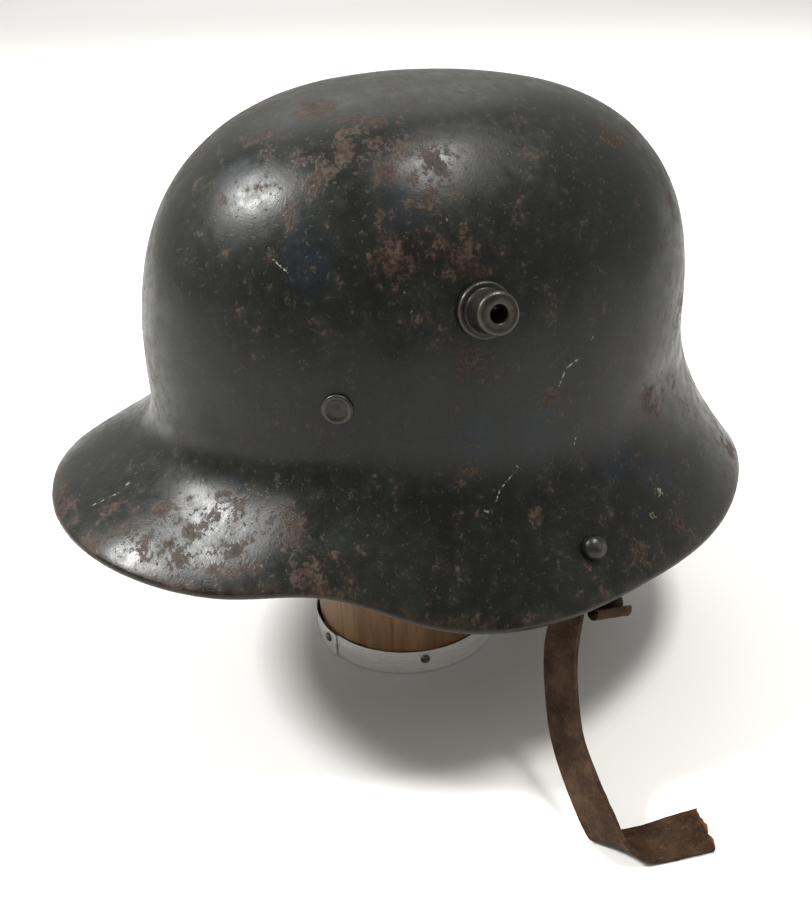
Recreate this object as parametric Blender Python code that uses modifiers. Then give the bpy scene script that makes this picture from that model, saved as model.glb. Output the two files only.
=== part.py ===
"""Steel trench helmet with its leather chin strap, on a plain wooden stand.

Metres. +Z is up, -Y is the visor, +X is the wearer's left. The origin is the middle of the
stand's underside, on the surface that the stand rests on.
"""
import math
from collections import namedtuple

import bmesh
import bpy
import numpy as np
from mathutils import Matrix, Vector

# Helmet: heights are measured up from the lowest point of its edge
CROWN_HEIGHT = 0.173        # lowest edge to the top of the crown
EDGE_HEIGHT = 0.0733        # surface under the stand to the lowest edge
SKULL_HALF_WIDTH = 0.0905   # waist, from the middle to the side
SKULL_FRONT = 0.108         # waist, from the middle to the brow
SKULL_REAR = 0.1175         # waist, from the middle to the nape
VISOR_REACH = 0.152         # middle to the tip of the visor
NECK_REACH = 0.150          # middle to the rear edge
SKIRT_HALF_WIDTH = 0.120    # middle to the side edge
EDGE_LIFT = 0.024           # how far the visor's edge is above the lowest edge
WALL = 0.0012               # sheet steel
ROLL_RADIUS = 0.0019        # outside radius of the rolled edge
ROLL_TURN = 195.0           # degrees that the edge is rolled through
DOME_PLAN_POWER = 2.4       # squareness of the dome's shoulder, outward
DOME_RISE_POWER = 2.8       # squareness of the dome's shoulder, upward
FLARE_START = 0.35          # pull of the flare's curve at the waist, share of its chord
FLARE_END = 0.38            # pull of the flare's curve at the edge, share of its chord
HELMET_BACK = 0.0064        # helmet's middle behind the stand's middle

# Fasteners
GAP = 0.0003                # clearance between touching pieces
LUG_ANGLE = 85.5            # degrees round from the visor
LUG_HEIGHT = 0.109
LUG_FLANGE_RADIUS = 0.0095
LUG_FLANGE_THICKNESS = 0.0026
LUG_BARREL_RADIUS = 0.0072
LUG_LENGTH = 0.0137         # how far the lug stands off the wall
LUG_BORE_RADIUS = 0.0029
LUG_NECK_RADIUS = 0.0056    # the part that passes through the wall
LUG_CRIMP_RADIUS = 0.0068   # the lip that holds it inside
LINER_RIVET_ANGLES = (54.2, -54.2, 180.0)
LINER_RIVET_HEIGHT = 0.0793
LINER_RIVET_RADIUS = 0.0054
LINER_RIVET_RISE = 0.0011
RIVET_SHANK_RADIUS = 0.0024
RIVET_TAIL_RADIUS = 0.0045
RIVET_TAIL_THICKNESS = 0.0012
STRAP_RIVET_ANGLE = 104.5
STRAP_RIVET_HEIGHT = 0.0198
STRAP_RIVET_RADIUS = 0.0047
STRAP_RIVET_RISE = 0.0046

# Chin strap and the short curled end beside it
LEATHER = 0.0018
STRAP_WIDTH = 0.016
TONGUE_WIDTH = 0.010        # both leathers narrow to this over the rivet's post
TONGUE_END = 0.0065         # leather beyond the post
STRAP_HEADING = 62.0        # degrees that the strap leaves its post forward of straight down
STRAP_SPREAD = 0.063        # post to the far edge of the strap's run, outward
STRAP_SWAY = 0.021          # how far the strap swings forward of its post
TORN_DEPTH = 0.004          # deepest bite of the torn end
STUB_WIDTH = 0.015
STUB_DROP = 0.0215          # post to the middle of the curl, down
STUB_OUT = 0.0105           # post to the middle of the curl, outward
STUB_BACK = 0.0032          # post to the middle of the curl, to the rear
STUB_CURL_RADIUS = 0.0032
STUB_CURL_TURN = 215.0      # degrees
STUB_TWIST = 10.0           # degrees that the curl's rear end turns outward
STUB_TILT = 10.0            # degrees that the curl's rear end hangs down

# Stand
POST_RADIUS = 0.0413
POST_CORNER = 0.026         # round of its top edge
POST_CROWNING = 0.0016      # how far the middle of its top stands above that round
BAND_HEIGHT = 0.012
BAND_THICKNESS = 0.0005
BAND_LAP_ANGLE = -70.0      # where the band's outer end stops, degrees from +X
BAND_LAP = 16.0             # degrees that its ends overlap
NAIL_ANGLES = (-77.5, -10.0, 75.0, 165.0)
NAIL_HEIGHT = 0.0075
NAIL_HEAD_RADIUS = 0.0021
NAIL_HEAD_RISE = 0.0008
NAIL_SHANK_RADIUS = 0.0009
NAIL_LENGTH = 0.008

# Sampling
DOME_ROWS = 11
FLARE_ROWS = 9
ROLL_ROWS = 5
HALF_COLUMNS = 28
POST_SIDES = 40
BAND_SIDES = 48
LUG_SIDES = 18
RIVET_SIDES = 14
NAIL_SIDES = 10
STRAP_STEPS = 34
STUB_STEPS = 26
MERGE = 0.00001

# Round the edge from the visor, 0 degrees, to the nape, 180: reach as a share of the plain
# oval edge, and lift as a share of EDGE_LIFT
EdgeStation = namedtuple("EdgeStation", "angle reach lift")
EDGE = (
    EdgeStation(0, 1.000, 1.00),
    EdgeStation(20, 1.008, 0.97),
    EdgeStation(40, 0.990, 0.88),
    EdgeStation(55, 0.973, 0.92),
    EdgeStation(70, 0.972, 0.34),
    EdgeStation(90, 1.000, 0.05),
    EdgeStation(115, 0.983, 0.03),
    EdgeStation(140, 0.984, 0.00),
    EdgeStation(160, 0.995, 0.18),
    EdgeStation(180, 1.000, 0.18),
)

# Height of the waist, where the dome turns into the flare, as a share of CROWN_HEIGHT
WaistStation = namedtuple("WaistStation", "angle height")
WAIST = (
    WaistStation(0, 0.347),
    WaistStation(60, 0.370),
    WaistStation(120, 0.341),
    WaistStation(180, 0.474),
)

# How steeply the flare runs down into the edge, degrees below level
SlopeStation = namedtuple("SlopeStation", "angle slope")
SLOPE = (SlopeStation(0, 33.0), SlopeStation(90, 61.0), SlopeStation(180, 50.0))

# The strap below its post: out is a share of STRAP_SPREAD, back a share of STRAP_SWAY (less
# than zero is forward), lift the lower edge's height as a share of the post's, turn and lean
# the direction of the strap's width in degrees, from +X towards +Y and up from level
StrapStation = namedtuple("StrapStation", "out back lift turn lean")
STRAP_RUN = (
    StrapStation(0.08, -0.475, 0.83, 35, -10),
    StrapStation(0.13, -0.515, 0.717, 14, 13),
    StrapStation(0.19, -0.685, 0.582, 16, 16),
    StrapStation(0.29, -0.805, 0.415, 19, 24),
    StrapStation(0.43, -0.885, 0.239, 25, 38),
    StrapStation(0.64, -0.895, 0.103, 35, 50),
    StrapStation(0.81, -0.875, 0.023, 36, 52),
    StrapStation(0.885, -0.835, 0.002, 19, 42),
    StrapStation(0.915, -0.615, 0.001, 0, 22),
    StrapStation(0.945, -0.170, 0.000, -8, 2),
    StrapStation(0.975, 0.415, 0.000, -9, -8),
    StrapStation(1.000, 0.970, 0.000, -9, -13),
)

# Torn end of the strap, across its width: bite as a share of TORN_DEPTH
TORN_BITES = (0.0, 0.55, 0.35, 0.8, 0.25)


def even_curve(stations, name):
    """A smooth function of the angle through a table's column, level at 0 and at 180 degrees."""
    knots = np.radians([station.angle for station in stations])
    values = np.array([getattr(station, name) for station in stations], dtype=float)
    steps = np.diff(knots)
    count = len(knots)
    matrix = np.zeros((count, count))
    right = np.zeros(count)
    matrix[0, 0] = 1.0
    matrix[-1, -1] = 1.0
    for row in range(1, count - 1):
        before, after = steps[row - 1], steps[row]
        matrix[row, row - 1:row + 2] = after, 2 * (before + after), before
        right[row] = 3 * (
            after * (values[row] - values[row - 1]) / before
            + before * (values[row + 1] - values[row]) / after
        )
    slopes = np.linalg.solve(matrix, right)

    def curve(angle):
        angle = abs((angle + math.pi) % (2 * math.pi) - math.pi)
        span = min(max(int(np.searchsorted(knots, angle)) - 1, 0), count - 2)
        width = steps[span]
        part = (angle - knots[span]) / width
        return float(
            values[span] * (1 + 2 * part) * (1 - part) ** 2
            + values[span + 1] * part ** 2 * (3 - 2 * part)
            + width * slopes[span] * part * (1 - part) ** 2
            - width * slopes[span + 1] * part ** 2 * (1 - part)
        )

    return curve


edge_reach = even_curve(EDGE, "reach")
edge_lift = even_curve(EDGE, "lift")
waist_height = even_curve(WAIST, "height")
flare_slope = even_curve(SLOPE, "slope")


def oval(angle, front, rear, side):
    """Radius of an oval made of two half ellipses, at an angle round from the front."""
    length = front if math.cos(angle) > 0 else rear
    return 1.0 / math.hypot(math.sin(angle) / side, math.cos(angle) / length)


def section(angle):
    """The sizes of the shell's upright section at an angle: waist, edge roll and slope."""
    waist = Vector((oval(angle, SKULL_FRONT, SKULL_REAR, SKULL_HALF_WIDTH),
                    waist_height(angle) * CROWN_HEIGHT))
    reach = oval(angle, VISOR_REACH, NECK_REACH, SKIRT_HALF_WIDTH) * edge_reach(angle)
    roll_centre = Vector((reach - ROLL_RADIUS, edge_lift(angle) * EDGE_LIFT + ROLL_RADIUS))
    slope = math.radians(flare_slope(angle))
    return waist, roll_centre, slope


def dome_point(angle, part):
    """Outside of the dome, from the crown at part 0 to the waist at part 1: radius, height."""
    waist, _, _ = section(angle)
    turn = part * math.pi / 2
    outward = math.sin(turn) ** (2 / DOME_PLAN_POWER)
    upward = max(math.cos(turn), 0.0) ** (2 / DOME_RISE_POWER)
    return Vector((waist.x * outward, waist.y + (CROWN_HEIGHT - waist.y) * upward))


def flare_point(angle, part):
    """Outside of the flare, from the waist at part 0 to the rolled edge at part 1."""
    waist, roll_centre, slope = section(angle)
    end = roll_centre + ROLL_RADIUS * Vector((math.sin(slope), math.cos(slope)))
    chord = (end - waist).length
    first = waist + Vector((0, -FLARE_START * chord))
    second = end - FLARE_END * chord * Vector((math.cos(slope), -math.sin(slope)))
    rest = 1 - part
    return (waist * rest ** 3 + first * (3 * rest ** 2 * part)
            + second * (3 * rest * part ** 2) + end * part ** 3)


def roll_point(angle, part):
    """Outside of the rolled edge, from the flare's end at part 0 round and under."""
    _, roll_centre, slope = section(angle)
    turn = slope + math.radians(ROLL_TURN) * part
    return roll_centre + ROLL_RADIUS * Vector((math.sin(turn), math.cos(turn)))


def in_space(angle, flat):
    """A section's radius and height as a point of the helmet on its stand."""
    return Vector((flat.x * math.sin(angle), HELMET_BACK - flat.x * math.cos(angle),
                   EDGE_HEIGHT + flat.y))


def evenly(curve, count):
    """The points of a curve at even steps of its length; the last one is left out."""
    parts = np.linspace(0.0, 1.0, 80)
    points = [curve(part) for part in parts]
    steps = [(after - before).length for before, after in zip(points[:-1], points[1:])]
    length = np.concatenate([[0.0], np.cumsum(steps)])
    wanted = np.linspace(0.0, length[-1], count + 1)[:-1]
    return [curve(part) for part in np.interp(wanted, length, parts)]


def wall_point(angle, part):
    """Outside of the wall from the crown, part 0, through the waist, 1, to the edge, 2."""
    flat = dome_point(angle, part) if part < 1 else flare_point(angle, part - 1)
    return in_space(angle, flat)


def wall_place(angle_degrees, height):
    """A frame on the outside of the wall, its Z axis square out of the steel."""
    angle = math.radians(angle_degrees)
    low, high = 0.0, 2.0
    for _ in range(50):
        middle = (low + high) / 2
        if wall_point(angle, middle).z - EDGE_HEIGHT > height:
            low = middle
        else:
            high = middle
    part = (low + high) / 2
    step = 0.001
    down = wall_point(angle, part + step) - wall_point(angle, part - step)
    around = wall_point(angle + step, part) - wall_point(angle - step, part)
    outward = down.cross(around).normalized()
    level = Vector((0, 0, 1)).cross(outward).normalized()
    rise = outward.cross(level)
    frame = Matrix((level, rise, outward)).transposed().to_4x4()
    frame.translation = wall_point(angle, part)
    return frame


def clear_scene():
    for item in list(bpy.data.objects):
        bpy.data.objects.remove(item, do_unlink=True)


def new_collection(name):
    collection = bpy.data.collections.new(name)
    bpy.context.scene.collection.children.link(collection)
    return collection


def new_material(name, colour, roughness, metallic):
    material = bpy.data.materials.new(name)
    material.use_nodes = True
    shader = material.node_tree.nodes["Principled BSDF"]
    shader.inputs["Base Color"].default_value = (*colour, 1.0)
    shader.inputs["Roughness"].default_value = roughness
    shader.inputs["Metallic"].default_value = metallic
    return material


def new_object(name, mesh, collection, material=None, frame=None):
    item = bpy.data.objects.new(name, mesh)
    collection.objects.link(item)
    if material is not None:
        mesh.materials.append(material)
    if frame is not None:
        item.matrix_world = frame
    return item


def smooth(mesh):
    mesh.shade_smooth()
    mesh.set_sharp_from_angle(angle=math.radians(35))


def grid_mesh(name, rows, close_ends=False):
    """A mesh of quads through rows of points that are all of one length."""
    work = bmesh.new()
    lines = [[work.verts.new(point) for point in row] for row in rows]
    pairs = list(zip(lines[:-1], lines[1:]))
    if close_ends:
        pairs.append((lines[-1], lines[0]))
    for first, second in pairs:
        for index in range(len(first) - 1):
            work.faces.new((first[index], first[index + 1], second[index + 1], second[index]))
    bmesh.ops.remove_doubles(work, verts=work.verts, dist=MERGE)
    mesh = bpy.data.meshes.new(name)
    work.to_mesh(mesh)
    work.free()
    smooth(mesh)
    return mesh


def add_solidify(item, thickness):
    thicken = item.modifiers.new("thickness", "SOLIDIFY")
    thicken.thickness = thickness
    thicken.offset = -1.0
    thicken.use_even_offset = True
    return thicken


def add_cut(item, cutter):
    cut = item.modifiers.new("cut " + cutter.name, "BOOLEAN")
    cut.operation = "DIFFERENCE"
    cut.object = cutter


def turned(name, profile, sides, collection, material, frame):
    """A profile of radius and height pairs, turned about the Z axis of the frame."""
    work = bmesh.new()
    points = [work.verts.new((radius, 0, height)) for radius, height in profile]
    for first, second in zip(points[:-1], points[1:]):
        work.edges.new((first, second))
    mesh = bpy.data.meshes.new(name)
    work.to_mesh(mesh)
    work.free()
    item = new_object(name, mesh, collection, material, frame)
    screw = item.modifiers.new("turn", "SCREW")
    screw.steps = sides
    screw.render_steps = sides
    screw.use_merge_vertices = True
    screw.merge_threshold = MERGE
    screw.use_smooth_shade = True
    return item


def cylinder_cutter(name, radius, low, high, frame, collection, sides=16):
    """A cylinder about the frame's Z axis, for a Boolean cut."""
    work = bmesh.new()
    bmesh.ops.create_cone(work, cap_ends=True, segments=sides, radius1=radius,
                          radius2=radius, depth=high - low)
    bmesh.ops.translate(work, verts=work.verts, vec=(0, 0, (high + low) / 2))
    mesh = bpy.data.meshes.new(name)
    work.to_mesh(mesh)
    work.free()
    item = new_object(name, mesh, collection, frame=frame)
    item.hide_render = True
    item.display_type = "WIRE"
    return item


def arc(centre, radius, start, end, steps):
    """Points of radius and height on an arc, its angles in degrees from level outward."""
    angles = [math.radians(start + (end - start) * step / steps) for step in range(steps + 1)]
    return [(centre[0] + radius * math.cos(a), centre[1] + radius * math.sin(a)) for a in angles]


def seat_sag(radius):
    """How far a flat seat of this radius is lifted by the roundness of the wall."""
    return radius ** 2 / (2 * SKULL_HALF_WIDTH)


def make_shell(parts, cutters, steel):
    rows = []
    for column in range(HALF_COLUMNS + 1):
        angle = math.pi * column / HALF_COLUMNS
        flat = evenly(lambda part: dome_point(angle, part), DOME_ROWS)
        flat += evenly(lambda part: flare_point(angle, part), FLARE_ROWS)
        flat += [roll_point(angle, row / ROLL_ROWS) for row in range(ROLL_ROWS + 1)]
        rows.append([in_space(angle, point) for point in flat])
    for row in (rows[0], rows[-1]):
        for point in row:
            point.x = 0.0
    shell = new_object("shell", grid_mesh("shell", rows), parts, steel)
    mirror = shell.modifiers.new("right half", "MIRROR")
    mirror.use_clip = True
    mirror.merge_threshold = MERGE
    add_solidify(shell, WALL)
    deep = WALL * 4
    for side, name in ((1, "left"), (-1, "right")):
        place = wall_place(side * LUG_ANGLE, LUG_HEIGHT)
        add_cut(shell, cylinder_cutter("vent hole " + name, LUG_NECK_RADIUS + GAP, -deep, deep,
                                       place, cutters))
        place = wall_place(side * STRAP_RIVET_ANGLE, STRAP_RIVET_HEIGHT)
        add_cut(shell, cylinder_cutter("strap rivet hole " + name, RIVET_SHANK_RADIUS + GAP,
                                       -deep, deep, place, cutters, RIVET_SIDES))
    for angle, name in zip(LINER_RIVET_ANGLES, ("left", "right", "rear")):
        place = wall_place(angle, LINER_RIVET_HEIGHT)
        add_cut(shell, cylinder_cutter("liner rivet hole " + name, RIVET_SHANK_RADIUS + GAP,
                                       -deep, deep, place, cutters, RIVET_SIDES))
    return shell


def make_vent_lug(side, name, parts, steel):
    """Stepped horn, drilled through: flange and barrel outside, crimped lip inside."""
    seat = GAP
    step = seat + LUG_FLANGE_THICKNESS
    end = LUG_LENGTH
    round_flange = LUG_FLANGE_THICKNESS * 0.35
    round_barrel = (LUG_BARREL_RADIUS - LUG_BORE_RADIUS) * 0.35
    inside = -WALL - GAP - seat_sag(LUG_CRIMP_RADIUS)
    profile = [(LUG_BORE_RADIUS, end - round_barrel * 0.5)]
    profile += [(LUG_BORE_RADIUS + round_barrel * 0.5, end)]
    profile += arc((LUG_BARREL_RADIUS - round_barrel, end - round_barrel), round_barrel,
                   90, 0, 3)
    profile += [(LUG_BARREL_RADIUS, step)]
    profile += arc((LUG_FLANGE_RADIUS - round_flange, step - round_flange), round_flange,
                   90, 0, 3)
    profile += [(LUG_FLANGE_RADIUS, seat), (LUG_NECK_RADIUS, seat), (LUG_NECK_RADIUS, inside),
                (LUG_CRIMP_RADIUS, inside), (LUG_CRIMP_RADIUS, inside - WALL),
                (LUG_BORE_RADIUS, inside - WALL)]
    profile.append(profile[0])
    place = wall_place(side * LUG_ANGLE, LUG_HEIGHT)
    return turned("vent_lug_" + name, profile, LUG_SIDES, parts, steel, place)


def rivet_tail(depth):
    """The head formed on a rivet's inner end, whose seat is at this depth."""
    return [(RIVET_SHANK_RADIUS, -depth), (RIVET_TAIL_RADIUS, -depth),
            (RIVET_TAIL_RADIUS, -depth - RIVET_TAIL_THICKNESS),
            (0.0, -depth - RIVET_TAIL_THICKNESS)]


def make_liner_rivet(angle, name, parts, steel):
    """Flat head with a raised ring and a dished middle."""
    top = GAP + LINER_RIVET_RISE
    ring = LINER_RIVET_RADIUS * 0.8
    profile = [(0.0, top - LINER_RIVET_RISE * 0.45), (ring * 0.8, top - LINER_RIVET_RISE * 0.3),
               (ring, top), (LINER_RIVET_RADIUS * 0.9, top - LINER_RIVET_RISE * 0.1),
               (LINER_RIVET_RADIUS, top - LINER_RIVET_RISE * 0.5),
               (LINER_RIVET_RADIUS, GAP), (RIVET_SHANK_RADIUS, GAP)]
    profile += rivet_tail(WALL + GAP + seat_sag(RIVET_TAIL_RADIUS))
    place = wall_place(angle, LINER_RIVET_HEIGHT)
    return turned("liner_rivet_" + name, profile, RIVET_SIDES, parts, steel, place)


def leather_depth(layer):
    """Depth below the wall's outside of the outer face of a leather on the rivet's post."""
    collar = WALL + 2 * GAP + seat_sag(RIVET_TAIL_RADIUS) + RIVET_TAIL_THICKNESS
    return collar + layer * (LEATHER + GAP)


def make_strap_rivet(side, name, parts, steel):
    """Domed head outside; inside, a collar, a post for the leather and a button."""
    collar_seat = WALL + GAP + seat_sag(RIVET_TAIL_RADIUS)
    collar_end = collar_seat + RIVET_TAIL_THICKNESS
    rim = STRAP_RIVET_RISE * 0.2
    bulge = STRAP_RIVET_RISE - rim
    dome = [(STRAP_RIVET_RADIUS * math.sin(math.radians(a)),
             GAP + rim + bulge * math.cos(math.radians(a))) for a in (0, 25, 50, 72, 90)]
    profile = dome + [(STRAP_RIVET_RADIUS, GAP), (RIVET_SHANK_RADIUS, GAP),
                      (RIVET_SHANK_RADIUS, -collar_seat), (RIVET_TAIL_RADIUS, -collar_seat),
                      (RIVET_TAIL_RADIUS, -collar_end), (RIVET_SHANK_RADIUS, -collar_end)]
    profile += rivet_tail(leather_depth(2))
    place = wall_place(side * STRAP_RIVET_ANGLE, STRAP_RIVET_HEIGHT)
    return turned("strap_rivet_" + name, profile, RIVET_SIDES, parts, steel, place)


def spline(points, part):
    """A Catmull-Rom curve through rows of numbers, read at part 0 to 1."""
    points = np.asarray(points, dtype=float)
    padded = np.vstack([2 * points[0] - points[1], points, 2 * points[-1] - points[-2]])
    spans = len(points) - 1
    place = min(part * spans, spans - 1e-9)
    index = int(place)
    t = place - index
    a, b, c, d = padded[index:index + 4]
    return 0.5 * (2 * b + (c - a) * t + (2 * a - 5 * b + 4 * c - d) * t ** 2
                  + (3 * b - a - 3 * c + d) * t ** 3)


def strap_rows():
    """Rows across the strap, from the tongue on the post to the torn end."""
    place = wall_place(STRAP_RIVET_ANGLE, STRAP_RIVET_HEIGHT)
    level, rise, outward = (place.to_3x3().col[axis] for axis in range(3))
    post = place.translation - outward * (leather_depth(1) + LEATHER / 2)
    heading = math.radians(STRAP_HEADING)
    ahead = -level * math.sin(heading) - rise * math.cos(heading)
    across = outward.cross(ahead)
    if across.y < 0:
        across = -across
    stations = []
    for along, width in ((-1, 1.0), (0, 1.0), (1, 1.0), (2, 1.1)):
        centre = post + ahead * TONGUE_END * along
        stations.append((*centre, *across, TONGUE_WIDTH * width / 2))
    for station in STRAP_RUN:
        turn = math.radians(station.turn)
        lean = math.radians(station.lean)
        width = Vector((math.cos(turn) * math.cos(lean), math.sin(turn) * math.cos(lean),
                        math.sin(lean)))
        edge = GAP + LEATHER / 2 + station.lift * post.z
        centre = Vector((post.x + station.out * STRAP_SPREAD,
                         post.y + station.back * STRAP_SWAY,
                         edge + abs(width.z) * STRAP_WIDTH / 2))
        stations.append((*centre, *width, STRAP_WIDTH / 2))
    rows = []
    columns = len(TORN_BITES)
    for step in range(STRAP_STEPS + 1):
        values = spline(stations, step / STRAP_STEPS)
        centre, width = Vector(values[:3]), Vector(values[3:6]).normalized()
        rows.append([centre + width * values[6] * (2 * column / (columns - 1) - 1)
                     for column in range(columns)])
    run = (rows[-1][0] - rows[-2][0]).normalized()
    for point, bite in zip(rows[-1], TORN_BITES):
        point -= run * bite * TORN_DEPTH
    return rows, post, place


def make_chin_strap(parts, cutters, leather):
    rows, _, place = strap_rows()
    strap = new_object("chin_strap", grid_mesh("chin_strap", rows), parts, leather)
    add_solidify(strap, LEATHER).offset = 0.0
    depth = leather_depth(1)
    hole = cylinder_cutter("strap hole", RIVET_SHANK_RADIUS + GAP, -depth - 2 * LEATHER,
                           -depth + LEATHER, place, cutters, RIVET_SIDES)
    add_cut(strap, hole)
    return strap


def make_strap_stub(parts, cutters, leather):
    """The short end: a tongue on the post, down along the wall, curled outward at its foot."""
    place = wall_place(STRAP_RIVET_ANGLE, STRAP_RIVET_HEIGHT)
    level, rise, outward = (place.to_3x3().col[axis] for axis in range(3))
    post = place.translation - outward * (leather_depth(0) + LEATHER / 2)
    out = Vector((outward.x, outward.y, 0)).normalized()
    up = Vector((0, 0, 1))
    side = up.cross(out)
    if side.y < 0:
        side = -side
    twist, tilt = math.radians(STUB_TWIST), math.radians(STUB_TILT)
    along = (side * math.cos(twist) + out * math.sin(twist)) * math.cos(tilt) - up * math.sin(tilt)
    forth = (out - along * out.dot(along)).normalized()
    over = forth.cross(along)
    curl = post + out * STUB_OUT + side * STUB_BACK - up * STUB_DROP
    centre_line = [(post + rise * TONGUE_END, side, TONGUE_WIDTH), (post, side, TONGUE_WIDTH),
                   (post - rise * TONGUE_END + side * STUB_BACK * 0.7, side, TONGUE_WIDTH)]
    start = curl - forth * STUB_CURL_RADIUS
    centre_line.append(((start + over * STUB_CURL_RADIUS + centre_line[-1][0]) / 2,
                        side + along, TONGUE_WIDTH * 1.15))
    steps = 8
    for step in range(steps + 1):
        turn = math.radians(STUB_CURL_TURN) * step / steps
        shrink = 1 - 0.25 * step / steps
        offset = -forth * math.cos(turn) - over * math.sin(turn)
        centre_line.append((curl + offset * STUB_CURL_RADIUS * shrink, along, STUB_WIDTH))
    stations = [(*centre, *across.normalized(), width / 2)
                for centre, across, width in centre_line]
    rows = []
    count = STUB_STEPS
    for step in range(count + 1):
        values = spline(stations, step / count)
        across = Vector(values[3:6]).normalized()
        rows.append([Vector(values[:3]) + across * values[6] * part for part in (-1, 0, 1)])
    stub = new_object("strap_stub", grid_mesh("strap_stub", rows), parts, leather)
    add_solidify(stub, LEATHER).offset = 0.0
    depth = leather_depth(0)
    hole = cylinder_cutter("stub hole", RIVET_SHANK_RADIUS + GAP, -depth - 2 * LEATHER,
                           -depth + LEATHER, place, cutters, RIVET_SIDES)
    add_cut(stub, hole)
    return stub


def make_post(parts, cutters, wood):
    top = EDGE_HEIGHT + CROWN_HEIGHT - WALL - GAP
    shoulder = top - POST_CROWNING - POST_CORNER
    profile = [(0.0, top)]
    profile += arc((POST_RADIUS - POST_CORNER, shoulder), POST_CORNER, 90, 0, 6)
    profile += [(POST_RADIUS, 0.0), (0.0, 0.0)]
    post = turned("stand_post", profile, POST_SIDES, parts, wood, Matrix())
    return post


def band_radius(turn):
    """Middle radius of the band at a turn in degrees from its inner end: it laps itself."""
    inner = POST_RADIUS + GAP + BAND_THICKNESS / 2
    step = BAND_THICKNESS + GAP
    rise = min(max((turn - (360 - 2 * BAND_LAP)) / BAND_LAP, 0.0), 1.0)
    return inner + step * rise * rise * (3 - 2 * rise)


def make_band(parts, cutters, tin):
    rows = []
    total = 360 + BAND_LAP
    count = BAND_SIDES
    for step in range(count + 1):
        turn = total * step / count
        angle = math.radians(BAND_LAP_ANGLE - total + turn)
        radius = band_radius(turn)
        rows.append([Vector((radius * math.cos(angle), radius * math.sin(angle), height))
                     for height in (GAP, BAND_HEIGHT)])
    band = new_object("stand_band", grid_mesh("stand_band", rows), parts, tin)
    add_solidify(band, BAND_THICKNESS).offset = 0.0
    return band


def nail_place(angle_degrees):
    """A frame on the post's side, its Z axis pointing straight out of the wood."""
    angle = math.radians(angle_degrees)
    outward = Vector((math.cos(angle), math.sin(angle), 0))
    level = Vector((0, 0, 1)).cross(outward)
    frame = Matrix((level, Vector((0, 0, 1)), outward)).transposed().to_4x4()
    frame.translation = outward * POST_RADIUS + Vector((0, 0, NAIL_HEIGHT))
    return frame


def make_nails(parts, cutters, band, post, steel):
    for number, angle in enumerate(NAIL_ANGLES, 1):
        place = nail_place(angle)
        turn = (angle - BAND_LAP_ANGLE) % 360
        outside = band_radius(turn) + BAND_THICKNESS / 2
        if turn < BAND_LAP or turn > 360 - BAND_LAP:
            outside = band_radius(360) + BAND_THICKNESS / 2
        seat = outside - POST_RADIUS + GAP
        profile = [(NAIL_HEAD_RADIUS * math.sin(math.radians(a)),
                    seat + NAIL_HEAD_RISE * math.cos(math.radians(a))) for a in (0, 35, 65, 90)]
        profile += [(NAIL_SHANK_RADIUS, seat), (NAIL_SHANK_RADIUS, -NAIL_LENGTH * 0.7),
                    (0.0, -NAIL_LENGTH)]
        turned("stand_nail_%d" % number, profile, NAIL_SIDES, parts, steel, place)
        hole = cylinder_cutter("nail hole %d" % number, NAIL_SHANK_RADIUS + GAP,
                               -NAIL_LENGTH - GAP, seat + NAIL_HEAD_RISE, place, cutters,
                               NAIL_SIDES)
        add_cut(band, hole)
        add_cut(post, hole)


def main():
    clear_scene()
    parts = new_collection("trench_helmet")
    cutters = new_collection("cutters")
    painted = new_material("painted steel", (0.035, 0.038, 0.030), 0.42, 0.3)
    bare = new_material("blackened steel", (0.05, 0.05, 0.045), 0.45, 0.7)
    hide = new_material("worn leather", (0.085, 0.045, 0.028), 0.75, 0.0)
    timber = new_material("orange wood", (0.42, 0.22, 0.09), 0.55, 0.0)
    tin = new_material("dull tin", (0.62, 0.62, 0.60), 0.38, 0.9)
    make_shell(parts, cutters, painted)
    for side, name in ((1, "left"), (-1, "right")):
        make_vent_lug(side, name, parts, painted)
        make_strap_rivet(side, name, parts, painted)
    for angle, name in zip(LINER_RIVET_ANGLES, ("left", "right", "rear")):
        make_liner_rivet(angle, name, parts, painted)
    make_chin_strap(parts, cutters, hide)
    make_strap_stub(parts, cutters, hide)
    post = make_post(parts, cutters, timber)
    band = make_band(parts, cutters, tin)
    make_nails(parts, cutters, band, post, bare)


main()
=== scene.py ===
"""Looks of a steel trench helmet with its leather chin strap, on a plain wooden stand.

Metres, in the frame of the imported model: +Z up, -Y the visor, +X the wearer's left, with the
origin in the middle of the stand's underside.
"""

import math
from collections import namedtuple

import bmesh
import bpy
import numpy as np
from mathutils import Matrix, Vector, noise


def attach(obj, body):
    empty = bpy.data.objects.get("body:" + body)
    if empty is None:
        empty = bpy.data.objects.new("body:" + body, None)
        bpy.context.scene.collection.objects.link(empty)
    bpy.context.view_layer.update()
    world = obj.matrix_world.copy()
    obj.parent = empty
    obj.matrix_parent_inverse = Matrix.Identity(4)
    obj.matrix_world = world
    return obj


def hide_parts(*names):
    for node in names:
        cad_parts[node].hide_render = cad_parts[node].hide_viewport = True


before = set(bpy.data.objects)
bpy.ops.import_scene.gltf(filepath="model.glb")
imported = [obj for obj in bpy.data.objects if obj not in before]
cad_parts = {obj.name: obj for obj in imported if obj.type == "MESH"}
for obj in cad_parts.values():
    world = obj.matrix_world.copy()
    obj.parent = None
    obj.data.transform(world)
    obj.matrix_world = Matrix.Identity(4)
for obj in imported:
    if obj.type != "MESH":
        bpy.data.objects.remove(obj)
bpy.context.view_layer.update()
UP = Vector((0, 0, 1))

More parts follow.
